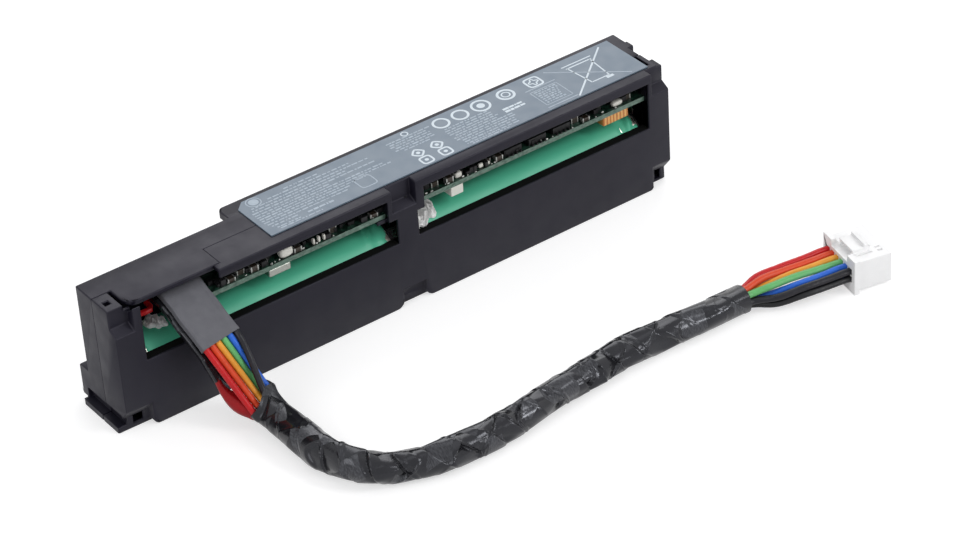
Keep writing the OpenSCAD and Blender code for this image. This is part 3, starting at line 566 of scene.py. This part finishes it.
WHITE_PART = plain("white_ceramic", (0.74, 0.73, 0.67), 0.4, cloud=0.04, size=0.8)
AMBER = amber_film()
FOAM = plain("foam", (0.006, 0.006, 0.006), 0.95, size=0.5, bump=0.1, Specular_IOR_Level=0.05)
NYLON = plain("white_nylon", (0.92, 0.92, 0.92), 0.38, cloud=0.03, size=2.0, bump=0.01)
JACKETS = {name: wire_jacket("jacket_" + name, colour) for name, colour in {
    "red": (0.56, 0.012, 0.016),
    "orange": (0.68, 0.065, 0.020),
    "yellow": (0.80, 0.34, 0.04),
    "green": (0.14, 0.46, 0.16),
    "blue": (0.028, 0.14, 0.64),
    "black": (0.014, 0.014, 0.019),
    "dark_red": (0.33, 0.006, 0.009),
    "black_low": (0.011, 0.011, 0.013),
}.items()}


# ---- the harness: the wrapped cable, its wires and the two taped stretches ----
def seeded(a, b, pair, size):
    """A value from -1 to 1 for each pair of whole numbers: the fraction that a large multiple of a sine
    leaves."""
    return 2 * ((np.sin(pair[0] * a + pair[1] * b) * size) % 1) - 1


def wrapped_cable():
    """A flattened oval that eases to a round tube. Its radius carries a slow swell from the wires
    within, and the tape's facets: two crossing families of creases wind round it, and in each cell
    between them the tape lies at its own slant and meets its neighbours in a low ridge. The slants fade
    towards both ends and away from the side that faces front."""
    path = spline(CABLE_ROUTE, 640) * MM
    s = run(path)[:, None] / MM
    a = np.broadcast_to(ring_angles(96), (len(path), 96))
    marks = run(np.array(CABLE_ROUTE))[:len(CABLE_START) + 1]
    width, height = (np.interp(s, marks, [q[i] for q in CABLE_START] + [CABLE_D]) for i in (0, 1))
    # the wires within
    swell = 0.16 * np.cos(2 * (a - s / 15)) + 0.09 * np.cos(3 * (a + s / 11) + 1) + 0.07 * np.cos(a - s / 4.2)
    # how many creases of each family are passed, and each cell's slants across both
    first = s / 6.4 - 2 * a / (2 * np.pi) + 0.16 * np.sin(s / 5.1) + 0.12 * np.sin(a + s / 9)
    second = s / 9.5 + a / (2 * np.pi) + 0.20 * np.sin(s / 7.7 + 2 * a)
    cell_a, cell_b = np.floor(first), np.floor(second)
    across, along = first - cell_a, second - cell_b
    slant_a = seeded(cell_a, cell_b, (12.9898, 78.233), 43758.5453)
    slant_b = seeded(cell_a, cell_b, (39.3467, 11.135), 24634.6345)
    # 0 along the ridges, less away from the front, and less towards the ends
    meet = ramp(np.minimum(across, 1 - across), 0, 0.07) * ramp(np.minimum(along, 1 - along), 0, 0.05)
    facing = 0.2 + 0.8 * ramp(np.cos(a - 0.8 * np.pi), 0.3, 0.8)
    reach = 0.15 + 0.85 * ramp(s, 16, 30) * (1 - ramp(s, 112, 124))
    facets = (1.8 * (across - 0.5) * slant_a + 1.4 * (along - 0.5) * slant_b - 0.2) * meet * facing * reach
    # the step where each turn of the tape ends on the one before
    lap = 0.12 * (1 - (s / 12.8 - a / (2 * np.pi)) % 1)
    r = 1 + (swell + facets + lap - 0.08) / (CABLE_D / 2)
    outline = np.stack([width / 2 * np.cos(a) * r, height / 2 * np.sin(a) * r], axis=-1) * MM
    p, faces = tube(path, outline, flat=True)
    # p[0] and p[-1] are the ends' middles: the rings between them start late on one side
    off = (p[1:-1] - path[:, None]) @ x_square_to(unit(path[1] - path[0])) / MM
    late = mouth_slant(off) * (1 - ramp(s, 0, 14)) * MM
    p[1:-1] += late[:, :, None] * unit(np.gradient(path, axis=0))[:, None]
    p[0] = p[1].mean(axis=0)
    p[..., 2] = np.maximum(p[..., 2], 0.03 * MM)
    return piece("cable_wrap", p, faces, TAPE, smooth=50, stands_for=["cable_sleeve"]), path


def cable_mouth():
    """The cable's first place and the direction in which it starts."""
    first = np.array(CABLE_ROUTE[0], float)
    return first, unit(np.array(CABLE_ROUTE[1]) - first)


def mouth_slant(across):
    """How far past the cable's first ring its mouth lies: the side away from the case starts later."""
    return 3.2 * ramp(-np.asarray(across, float), -2.0, 4.2)


def drop_spine():
    """The middle line of the wires between the taped stretch and the cable."""
    end = np.array(RIBBON_ROUTE[-1])
    out = unit(end - RIBBON_ROUTE[-2])
    first, entry = cable_mouth()
    return spline([end - 0.8 * out, end + 1.2 * out, *BUNDLE_MID,
                   first - 1.2 * entry, first + 0.8 * entry], 70)


def strip_run(spine):
    """How far along the spine the lower strip ends."""
    return float(run(spine)[np.argmin(np.linalg.norm(spine - np.array(BUNDLE_MID[1]), axis=1))])


def drop_path(w):
    """A wire's own line on the way down: a cubic Hermite curve from its place at the end of its tape,
    leaving along the tape, to its place in the cable's mouth, entering along the cable; it is lifted
    over its neighbours and bowed out in between. It runs on past the mouth, towards the cable's
    middle."""
    lower = w["row"] == 1
    hidden, deep = 1.2, 1.8             # how far it runs back under its tape, and on into the cable
    spine = drop_spine()
    side, up = sides(spine, flat=False)
    tape_run = strip_run(spine) if lower else 0.4
    i = int(np.argmin(np.abs(run(spine) - tape_run)))
    a = spine[i] + w["tape_end"][0] * side[i] + w["tape_end"][1] * up[i]
    leave = unit(spine[i + 1] - spine[i])
    first, entry = cable_mouth()
    x = x_square_to(entry)
    over = np.cross(entry, x)
    inside = w["mouth"][0] * x + w["mouth"][1] * over
    b = first + inside + float(mouth_slant(w["mouth"][0])) * entry
    t = np.linspace(0, 1, 60)[:, None]
    pull = (0.9 if lower else 0.55) * np.linalg.norm(b - a)
    path = hermite(t, pull, a, leave, b, entry) + np.sin(np.pi * t) * (w["lift"] * over + w["bow"] * x)
    path = np.concatenate([a[None] - hidden * leave, path, b[None] + deep * entry - 0.3 * inside])
    path = spline(path, 80)
    path[:, 2] = np.maximum(path[:, 2], WIRE_D / 2 + 0.06)
    return path


def fan_path(w):
    """A wire's own line from the cable's end, out through the fan and into its chamber."""
    leave = unit(np.array(CABLE_ROUTE[-1]) - CABLE_ROUTE[-2])
    across, up = np.cross((0, 0, 1), leave), np.array([0, 0, 1.0])
    a = np.array(CABLE_ROUTE[-1]) + w["cable_end"][0] * across + w["cable_end"][1] * up
    row = np.array([-PLUG_DIR[1], PLUG_DIR[0], 0])
    b = PLUG_AT + ((CONTACTS - 1) / 2 - w["column"]) * PITCH * row + ROW_Z[w["row"]] * up + 1.2 * PLUG_DIR
    m = FAN_MID + w["fan"][0] * np.array([0, 1.0, 0]) + w["fan"][1] * up
    swell = 0.12 * np.array([0, w["cable_end"][0] + w["fan"][0], w["cable_end"][1] + w["fan"][1]])
    return spline([a - 0.8 * leave, a + 1.2 * leave, 0.5 * (a + m) + swell, m, 0.5 * (m + b),
                   b - 3 * PLUG_DIR, b], 80)


def wire(name, w):
    """Both visible runs of one wire, as round tubes with a slightly uneven jacket."""
    parts = []
    for i, (path, thicker, share) in enumerate(((drop_path(w), 0, 1), (fan_path(w), 0.1, 0.3))):
        path = path * MM
        s = run(path) / MM
        swell = thicker + w["swell"] * share * np.sin(np.pi * (s / s[-1])**1.3)**2
        d = WIRE_D * (1 + 0.015 * ripple(s, 0 * s, 20 + i) + swell) * MM
        parts.append(tube(path, rings(len(path), 18, d, d), flat=i == 1))
    points, faces = joined(parts)
    return piece("wire_" + name + "_jacket", points, faces, JACKETS[name], smooth=60,
                 stands_for=["wire_" + name])


def flat_band(path, width, height, power, across, above, reach, seed):
    """A taped band: a squarish oval carried along its route, off its middle by across and above. The
    wires show as faint ridges on top, as far out as reach, and its open end turns in on itself."""
    s = run(path) / MM
    k = 112
    outline = rings(len(path), k, width, height, power)
    x, y = outline[..., 0], outline[..., 1]
    ridge = 0.035 * np.cos(2 * np.pi * x / WIRE_PITCH) * (y > 0.6 * height / 2) * (np.abs(x) < reach)
    sag = 0.07 * ripple(x / 2.6, s[:, None] / 3.4, seed, reach=(0.5, 2.5)) * (np.abs(y) > 0.3 * height)
    edge = 0.06 * ripple(s[:, None] / 2.4, 0 * x, seed + 1, reach=(0.5, 3))
    outline = outline + np.stack([np.sign(x) * edge, np.sign(y) * (ridge - 0.05) + sag], axis=-1)
    p = carried(path, (outline + (across, above)) * MM, flat=False)
    middle = p[-1].mean(axis=0)
    lip = middle + (p[-1] - middle) * 0.95
    well = lip - 0.6 * MM * unit(path[-1] - path[-2])
    p = np.concatenate([np.repeat(p[:1].mean(axis=1, keepdims=True), k, axis=1), p, lip[None], well[None],
                        np.repeat(well.mean(axis=0)[None], k, axis=0)[None]])
    return p, grid_faces(p.shape[0], k, close_v=True)


def flat_tape():
    """The cloth tape round the upper row of wires."""
    p, faces = flat_band(spline(RIBBON_ROUTE, 120) * MM, RIBBON_W, RIBBON_T, 0.22, 0, ROW_UP, 4.7, 5)
    return piece("tape_flat", p, faces, CLOTH, smooth=50, stands_for=["tape_wrap"])


def low_strip():
    """The glossy strip round the lower two wires, which runs on past the upper tape's end."""
    spine = drop_spine()
    over = spine[(run(spine) <= strip_run(spine)) & (run(spine) > 1.0)]
    path = spline(np.concatenate([np.array(RIBBON_ROUTE[:-1], float), over[::4]]), 150) * MM
    p, faces = flat_band(path, STRIP_W, STRIP_T, 0.4, STRIP_S, ROW_LOW, 1.2, 15)
    return piece("tape_low", p, faces, TAPE, smooth=50, stands_for=["tape_strip"])


cable, cable_path = wrapped_cable()
wire_pieces = [wire(name, w) for name, w in WIRES.items()]
tape, strip = flat_tape(), low_strip()


# ---- the case ----
moulded("front_shell", "front_moulding", CASE, 0.3, flats=False, sharp_below=7.0)
moulded("back_shell", "back_moulding", CASE, 0.3, flats=False)
housing = moulded("connector_housing", "connector_shell", NYLON, 0.12)


# ---- cells ----
def sleeve(name, node, x0, seed):
    """A closed skin round a cell: its profile runs from a turned-in lip over a rounded shoulder, along
    the side and over the other shoulder, comes back a skin's thickness inside, and is carried round the
    axis. The side ripples faintly, and near the right end it dips and lifts in folds that turn into
    pleats over the shoulder."""
    r0, lip, c, skin = CELL_D / 2, 5.3, 0.7, 0.1      # c is the shoulder's radius
    turn = np.linspace(0, np.pi / 2, 8)
    edge = np.linspace(lip, r0 - c, 4)[:-1]
    body = np.concatenate([np.linspace(c, 50, 46), np.linspace(50, CELL_L - c, 84)[1:]])[1:-1]
    x = np.concatenate([0 * edge, c - c * np.cos(turn), body, CELL_L - c + c * np.sin(turn),
                        CELL_L + 0 * edge])
    r = np.concatenate([edge, r0 - c + c * np.sin(turn), r0 + 0 * body, r0 - c + c * np.cos(turn),
                        edge[::-1]])
    nx = np.concatenate([-1 + 0 * edge, -np.cos(turn), 0 * body, np.sin(turn), 1 + 0 * edge])
    nr = np.concatenate([0 * edge, np.sin(turn), 1 + 0 * body, np.cos(turn), 0 * edge])
    x = np.concatenate([x, (x - skin * nx)[::-1]])[:, None]
    r = np.concatenate([r, (r - skin * nr)[::-1]])[:, None]
    k = 128
    a = 2 * np.pi * np.arange(k)[None] / k
    near = ramp(x, CELL_L - 7.5, CELL_L - 3)
    fold = (np.sin(3 * a + 1.5 * x + 0.9 * np.sin(0.8 * x + 2 * a + seed))
            + 0.5 * np.sin(5 * a - 0.9 * x + seed))
    pleat = np.cos(13 * a + 1.2 * np.sin(2 * a + seed)) * ramp(x, CELL_L - 2.4, CELL_L - 0.4)
    room = ramp(np.cos(a), 0.62, 0.75)
    dip = np.maximum(near * fold * (0.1 + 0.2 * room) + 0.08 * pleat, -0.18)
    dip = dip + 0.012 * ripple(x / 3.5, 3 * a, seed)
    p = cased(about_axis(x0 + x + 0 * a, r + dip, a))
    faces = grid_faces(len(x), k, close_u=True, close_v=True)
    piece(name, p, faces, GREEN, smooth=40, stands_for=[node])


sleeve("sleeve_left", "cell_sleeve_left", CELL_X, 2)
sleeve("sleeve_right", "cell_sleeve_right", CELL2_X, 5)


def crumple(x0, x1, a0, a1, high, seed):
    """Squeezed white filler on a cell: a closed pillow over the patch between two places along the axis
    and two angles, thickest in its middle, whose height is raised in sharp crossing ridges, each one
    less the absolute value of a wave."""
    nu, nv = 56, 72
    u = np.linspace(0, 1, nu)[:, None]
    v = 2 * np.pi * np.arange(nv)[None] / nv
    wide = np.sqrt(np.maximum(1 - (2 * u - 1)**4, 0)) * (1 + 0.14 * np.sin(7 * u + seed))
    x = x0 + (x1 - x0) * (u + 0.035 * np.sin(3 * v + seed) * wide)
    a = (a0 + a1) / 2 + (a1 - a0) / 2 * np.cos(v) * wide
    waves = [1 - np.abs(ripple(5.5 * u + i, 5.2 * a, seed + i, waves=4, reach=(1.2, 3.2))) for i in range(3)]
    ridge = 0.25 + 0.45 * waves[0] * waves[1] + 0.4 * np.maximum(waves[2], 0)**3
    lift = high * np.maximum(np.sin(v), 0)**0.5 * wide**0.6 * np.maximum(ridge, 0.1)
    r = CELL_D / 2 - 0.05 - 0.1 * np.maximum(-np.sin(v), 0) + lift
    return cased(about_axis(x, r, a)), grid_faces(nu, nv, close_v=True)


def glue(name, node, patches):
    """The filler on one cell: patches are the values of crumple."""
    points, faces = joined([crumple(*q) for q in patches])
    piece(name, points, faces, GLUE, smooth=24, stands_for=[node])


glue("filler_left", "glue_left", [(11.4, 15.6, -0.42, 0.24, 1.9, 3), (13.0, 16.3, -0.1, 0.34, 1.1, 8)])
glue("filler_middle", "glue_middle", [(80.0, 84.6, 0.1, 0.88, 2.7, 4), (82.2, 86.9, 0.0, 0.75, 2.4, 9),
                                      (79.9, 83.0, 0.5, 1.0, 1.3, 12)])


# ---- board ----
moulded("circuit_board", "board_plate", BOARD, 0.06, clamp=True)

# white parts on top, as places along, across and above the board and sizes: a
# rounded lump, three upright ones, and four more along the front edge
whites = np.array([
    [45.5, 2.8, 1.2, 3.5, 2.3, 2.4],
    [52.7, 2.3, 0.75, 0.55, 1.0, 1.5],
    [54.1, 2.3, 0.8, 0.6, 1.0, 1.6],
    [55.5, 2.3, 0.75, 0.55, 1.0, 1.5],
    [92.7, 2.9, 0.75, 1.9, 1.5, 1.5],
    [98.9, 2.5, 0.6, 1.3, 0.8, 1.1],
    [100.9, 2.4, 0.5, 0.9, 0.7, 0.9],
    [138.6, 2.9, 0.6, 3.0, 1.5, 1.2]])
points, faces = beads(whites[:, :3] + [0, 0, BOARD_TOP], whites[:, 3:], power=0.55, nu=11, nv=20)
piece("pale_parts", cased(points), faces, WHITE_PART, smooth=60, stands_for=["white_top_parts"])

# tin ends of the capacitors, whose places are in percent of the board's length,
# and solder along the front edge and on the fibre
caps = np.array([4.8, 7.3, 9.8, 12.3, 19.3, 27.6, 36.3, 50.8, 53.7, 63, 65.3, 84, 86.1, 96.8])
i = np.arange(len(caps))
cap_high = 0.9 + 0.25 * (i % 3)
middle = np.stack([BOARD_X + caps / 100 * BOARD_L, 2.6 + 1.1 * (i % 2), BOARD_TOP + cap_high / 2], axis=-1)
ends = np.concatenate([middle + [side * 0.86, 0, 0] for side in (-1, 1)])
end_sizes = np.tile(np.stack([0.3 + 0 * cap_high, 1.29 + 0 * cap_high, cap_high + 0.04], axis=-1), (2, 1))
drops = scatter(11, (BOARD_X + 1.5, BOARD_X + BOARD_L - 6), (1.75, 2.2), (BOARD_TOP, BOARD_TOP + 0.25), n=30)
drop_sizes = scatter(12, (0.25, 0.9), (0.25, 0.5), (0.25, 0.6), n=30)
points, faces = joined([blocks(ends, end_sizes), beads(drops, drop_sizes, power=0.9)])
piece("solder", cased(points), faces, SOLDER, smooth=60)

# small dark parts between them
bits = scatter(21, (BOARD_X + 1.5, BOARD_X + BOARD_L - 3), (2.2, 5.2), (0.25, 0.85), n=96)
bits[:, 2] += BOARD_TOP - 0.05
bit_flat = scatter(22, (0.5, 1.7), (0.5, 1.1), n=96)
bit_sizes = np.concatenate([bit_flat, 2 * (bits[:, 2:] - BOARD_TOP)], axis=-1)
points, faces = blocks(bits, bit_sizes)
piece("small_parts", cased(points), faces, EPOXY)

moulded("metal_fuse", "fuse_can", FUSE, 0.35, segments=3, clamp=True)
moulded("white_block", "white_box", WHITE_PART, 0.18, clamp=True)
moulded("amber_capacitor", "film_capacitor", AMBER, 0.3, segments=3, clamp=True)


# ---- label print: plain shapes in two tones, part sunk in the label ----
def ink(path, width, closed=False):
    """A printed line: a flat rectangle of the given width carried along a path on the label, joined to
    its start where it is closed."""
    path = np.asarray(path, float)
    t = unit(np.roll(path, -1, axis=0) - np.roll(path, 1, axis=0) if closed else np.gradient(path, axis=0))
    side = np.stack([-t[:, 1], t[:, 0]], axis=-1) * width / 2
    flat = np.stack([path - side, path + side, path + side, path - side], axis=1)
    z = np.broadcast_to(PRINT_Z + PRINT_T / 2 * np.array([-1, -1, 1, 1]), flat.shape[:2])[..., None]
    faces = grid_faces(len(path), 4, close_u=closed, close_v=True)
    if not closed:
        last = 4 * (len(path) - 1)
        faces = np.concatenate([faces, [[0, 1, 2, 3], [last, last + 3, last + 2, last + 1]]])
    return np.concatenate([flat, z], axis=-1), faces


def lines(width, *corners):
    """Straight printed lines of one width from each corner to the next."""
    return [ink(pair, width) for pair in zip(corners, corners[1:])]


def circle(x, y, r, width, lobes=0, depth=0.0, power=1.0):
    """A closed line round a middle: a circle, squarer as power falls below one, with lobes where they
    are asked for."""
    a = 2 * np.pi * np.arange(48) / 48
    q = r * (1 + depth * np.cos(lobes * a))
    round_it = [x + q * signed_power(np.cos(a), power), y + q * signed_power(np.sin(a), power)]
    return ink(np.stack(round_it, axis=-1), width, closed=True)


def spot(x, y, r):
    """A filled round of radius r: a ring so wide that it has no hole."""
    return circle(x, y, r / 2, r)


def dashes(y, x0, x1, high, seed, gap=0.28, lengths=(0.3, 1.7)):
    """A row of short bars of seeded lengths from x0 to x1."""
    most = 90
    r = np.random.default_rng(seed)
    length = r.uniform(*lengths, most)
    start = x0 + np.concatenate([[0], np.cumsum(length + gap * r.uniform(0.7, 1.6, most))[:-1]])
    keep = start + length < x1
    c = np.stack([start + length / 2, y + 0 * start, PRINT_Z + 0 * start], axis=-1)[keep]
    size = np.stack([length, high * r.uniform(0.75, 1.1, most), PRINT_T + 0 * length], axis=-1)[keep]
    return blocks(c, size)


def print_label():
    """The label's marks: rows of bars for fine print, and lines, rings and spots for signs and frames."""
    rows = [     # each row's height on the label, and where it starts and ends
        (16.7, 55, 64.5), (15.6, 50, 72), (14.5, 45, 76.5), (13.5, 44.6, 70), (12.5, 44, 78),
        (11.5, 44, 64), (10.6, 44, 78), (9.7, 44, 80.5), (8.8, 44, 73), (7.9, 44, 67), (6.9, 44.3, 66),
        (5.9, 44.8, 52), (4.8, 45.5, 53), (4.1, 46, 58), (16, 82.6, 94.8), (15.1, 83, 94),
        (14.2, 82.6, 94.8), (13.3, 83.5, 94), (12.4, 82.8, 94), (11.5, 84.6, 93), (12.4, 96.5, 110),
        (11.5, 96, 109), (10.6, 96, 110), (9.7, 96, 110), (8.8, 97, 109), (7.9, 96, 113), (7, 96, 113),
        (6.1, 97, 113), (5.2, 97, 112), (4.3, 97, 112), (3.6, 98, 110)]
    fine = [dashes(y, x0, x1, 0.42, i) for i, (y, x0, x1) in enumerate(rows)]
    hatch = [dashes(6.1 + 0.85 * k, 121.2, 127.4, 0.5, 60 + k, gap=0.3, lengths=(0.3, 1.0)) for k in range(7)]
    faint = [*fine, dashes(5.4, 54, 61, 0.6, 40), spot(46.9, 16.6, 1.2), circle(46.9, 16.6, 1.75, 0.25),
             *lines(0.22, (120.5, 5.2), (128, 5.2), (128, 11.8), (120.5, 11.8), (120.5, 5.2)),
             *lines(0.3, (120, 12.9), (128.5, 12.9)), *lines(0.3, (120, 4.1), (128.5, 4.1)), *hatch,
             circle(70.7, 7, 2.1, 0.3, power=0.4), *lines(0.28, (128.3, 17), (144.2, 3.7))]
    signs = [(86.3, 8.6, 1.5, 1.6), (91.5, 8.6, 1.5, 1.6), (86.2, 5.1, 1.4, 0.5), (91.5, 5.1, 1.4, 0.5)]
    bold = [circle(88.5, 17.1, 0.8, 0.3),
            *[circle(x, y, r, 0.5, power=power) for x, y, r, power in signs],
            *[spot(x, y, 0.5) for x, y, r, power in signs],
            circle(97.5, 15.2, 1.9, 0.6), circle(102.9, 15.2, 1.9, 0.6), circle(108.8, 15.2, 2.2, 0.6),
            spot(108.8, 15.2, 1.0), circle(116, 15.2, 2.0, 0.65), circle(116, 15.2, 1.0, 0.35),
            dashes(10.3, 111.5, 117.5, 0.75, 41, gap=0.15), dashes(9.2, 111.5, 117.5, 0.75, 42, gap=0.15),
            circle(124.1, 15.3, 1.9, 0.5, power=0.45), circle(124.1, 15.3, 1.0, 0.35, lobes=4, depth=0.3),
            *lines(0.45, (128.6, 3.5), (145, 17.4)), *lines(0.4, (133.2, 14.6), (140.6, 14.6)),
            *lines(0.35, (133.6, 14.6), (134.4, 6.2)), *lines(0.35, (140.2, 14.6), (139.4, 6.2)),
            *lines(0.35, (134.4, 6.2), (139.4, 6.2)), *lines(0.35, (132.6, 15.7), (141.2, 15.7)),
            *lines(0.9, (138.2, 5.6), (140.2, 5.6))]
    for name, parts, tone in (("print_fine", faint, FAINT_INK), ("print_bold", bold, INK)):
        points, faces = joined(parts)
        piece(name, cased(points), faces, tone, smooth=30, welded=False)


print_label()

# CAD nodes that stay as they are and only take a finish
for material, nodes in (
        (PAPER, ["label"]),
        (STEEL, ["cell_can_left", "cell_can_right", "nickel_link", "nickel_tab_left", "nickel_tab_right",
                 "connector_contacts"]),
        (EPOXY, ["cell_washer_left", "cell_washer_right", "potting_block", "controller_chip", "gauge_chip",
                 "power_switches", "choke", "chip_resistors"]),
        (TAN, ["chip_capacitors"]),
        (FOAM, ["foam_pad", "gasket_left", "gasket_right"]),
        (JACKETS["red"], ["sense_wire"])):
    for node in nodes:
        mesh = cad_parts[node].data
        mesh.materials.clear()
        mesh.materials.append(material)


# ---- floor, sky and lamps ----
def shown_to_camera(tree, seen, lit):
    """Emission colour that camera, mirror and glass rays see as one value, and that lights the object as
    another."""
    path = tree.nodes.new("ShaderNodeLightPath")
    seen_by = path.outputs["Is Camera Ray"]
    for ray in ("Is Glossy Ray", "Is Transmission Ray"):
        either = tree.nodes.new("ShaderNodeMath")
        either.operation = "MAXIMUM"
        tree.links.new(seen_by, either.inputs[0])
        tree.links.new(path.outputs[ray], either.inputs[1])
        seen_by = either.outputs[0]
    mix = tree.nodes.new("ShaderNodeMix")
    mix.data_type = "RGBA"
    mix.inputs[6].default_value = (*lit, 1)
    mix.inputs[7].default_value = (*seen, 1)
    tree.links.new(seen_by, mix.inputs[0])
    return mix.outputs[2]


world = bpy.data.worlds.new("studio")
scene.world = world
world.use_nodes = True
sky = world.node_tree.nodes["Background"]
world.node_tree.links.new(shown_to_camera(world.node_tree, SKY_SEEN, SKY_LIT), sky.inputs["Color"])

floor_mesh = bpy.data.meshes.new("floor")
floor_mesh.from_pydata([(x * FLOOR_HALF, y * FLOOR_HALF, 0) for x, y in ((-1, -1), (1, -1), (1, 1), (-1, 1))],
                       [], [(0, 1, 2, 3)])
floor = linked("floor", floor_mesh)
paint = bpy.data.materials.new("floor_white")
paint.use_nodes = True
shader = paint.node_tree.nodes["Principled BSDF"]
shader.inputs["Base Color"].default_value = (*FLOOR_GREY, 1)
shader.inputs["Roughness"].default_value = 1.0
shader.inputs["Specular IOR Level"].default_value = 0.0
glow = shown_to_camera(paint.node_tree, FLOOR_GLOW, (0, 0, 0))
paint.node_tree.links.new(glow, shader.inputs["Emission Color"])
shader.inputs["Emission Strength"].default_value = 1.0
floor_mesh.materials.append(paint)


def softbox(name, at, size, power):
    """A rectangular area lamp at a place, facing the origin, in metres and watts."""
    data = bpy.data.lights.new(name, "AREA")
    data.shape = "RECTANGLE"
    data.size, data.size_y = size
    data.energy = power
    back = unit(at)
    right = unit(np.cross((0, 0, 1), back))
    linked(name, data).matrix_world = axes_at(right, np.cross(back, right), back, at)


softbox("left_box", (-1.3, -0.3, 0.9), (0.9, 0.9), 6.6)
softbox("back_box", (0.65, 0.95, 1.0), (1.2, 0.9), 7.5)
softbox("top_box", (-0.1, -0.2, 1.5), (1.0, 0.8), 2)
softbox("right_box", (0.76, -0.95, 0.92), (0.36, 0.55), 5.2)
softbox("low_box", (0.45, -1.2, 0.30), (0.35, 0.2), 3)

scene.view_settings.view_transform = "Standard"
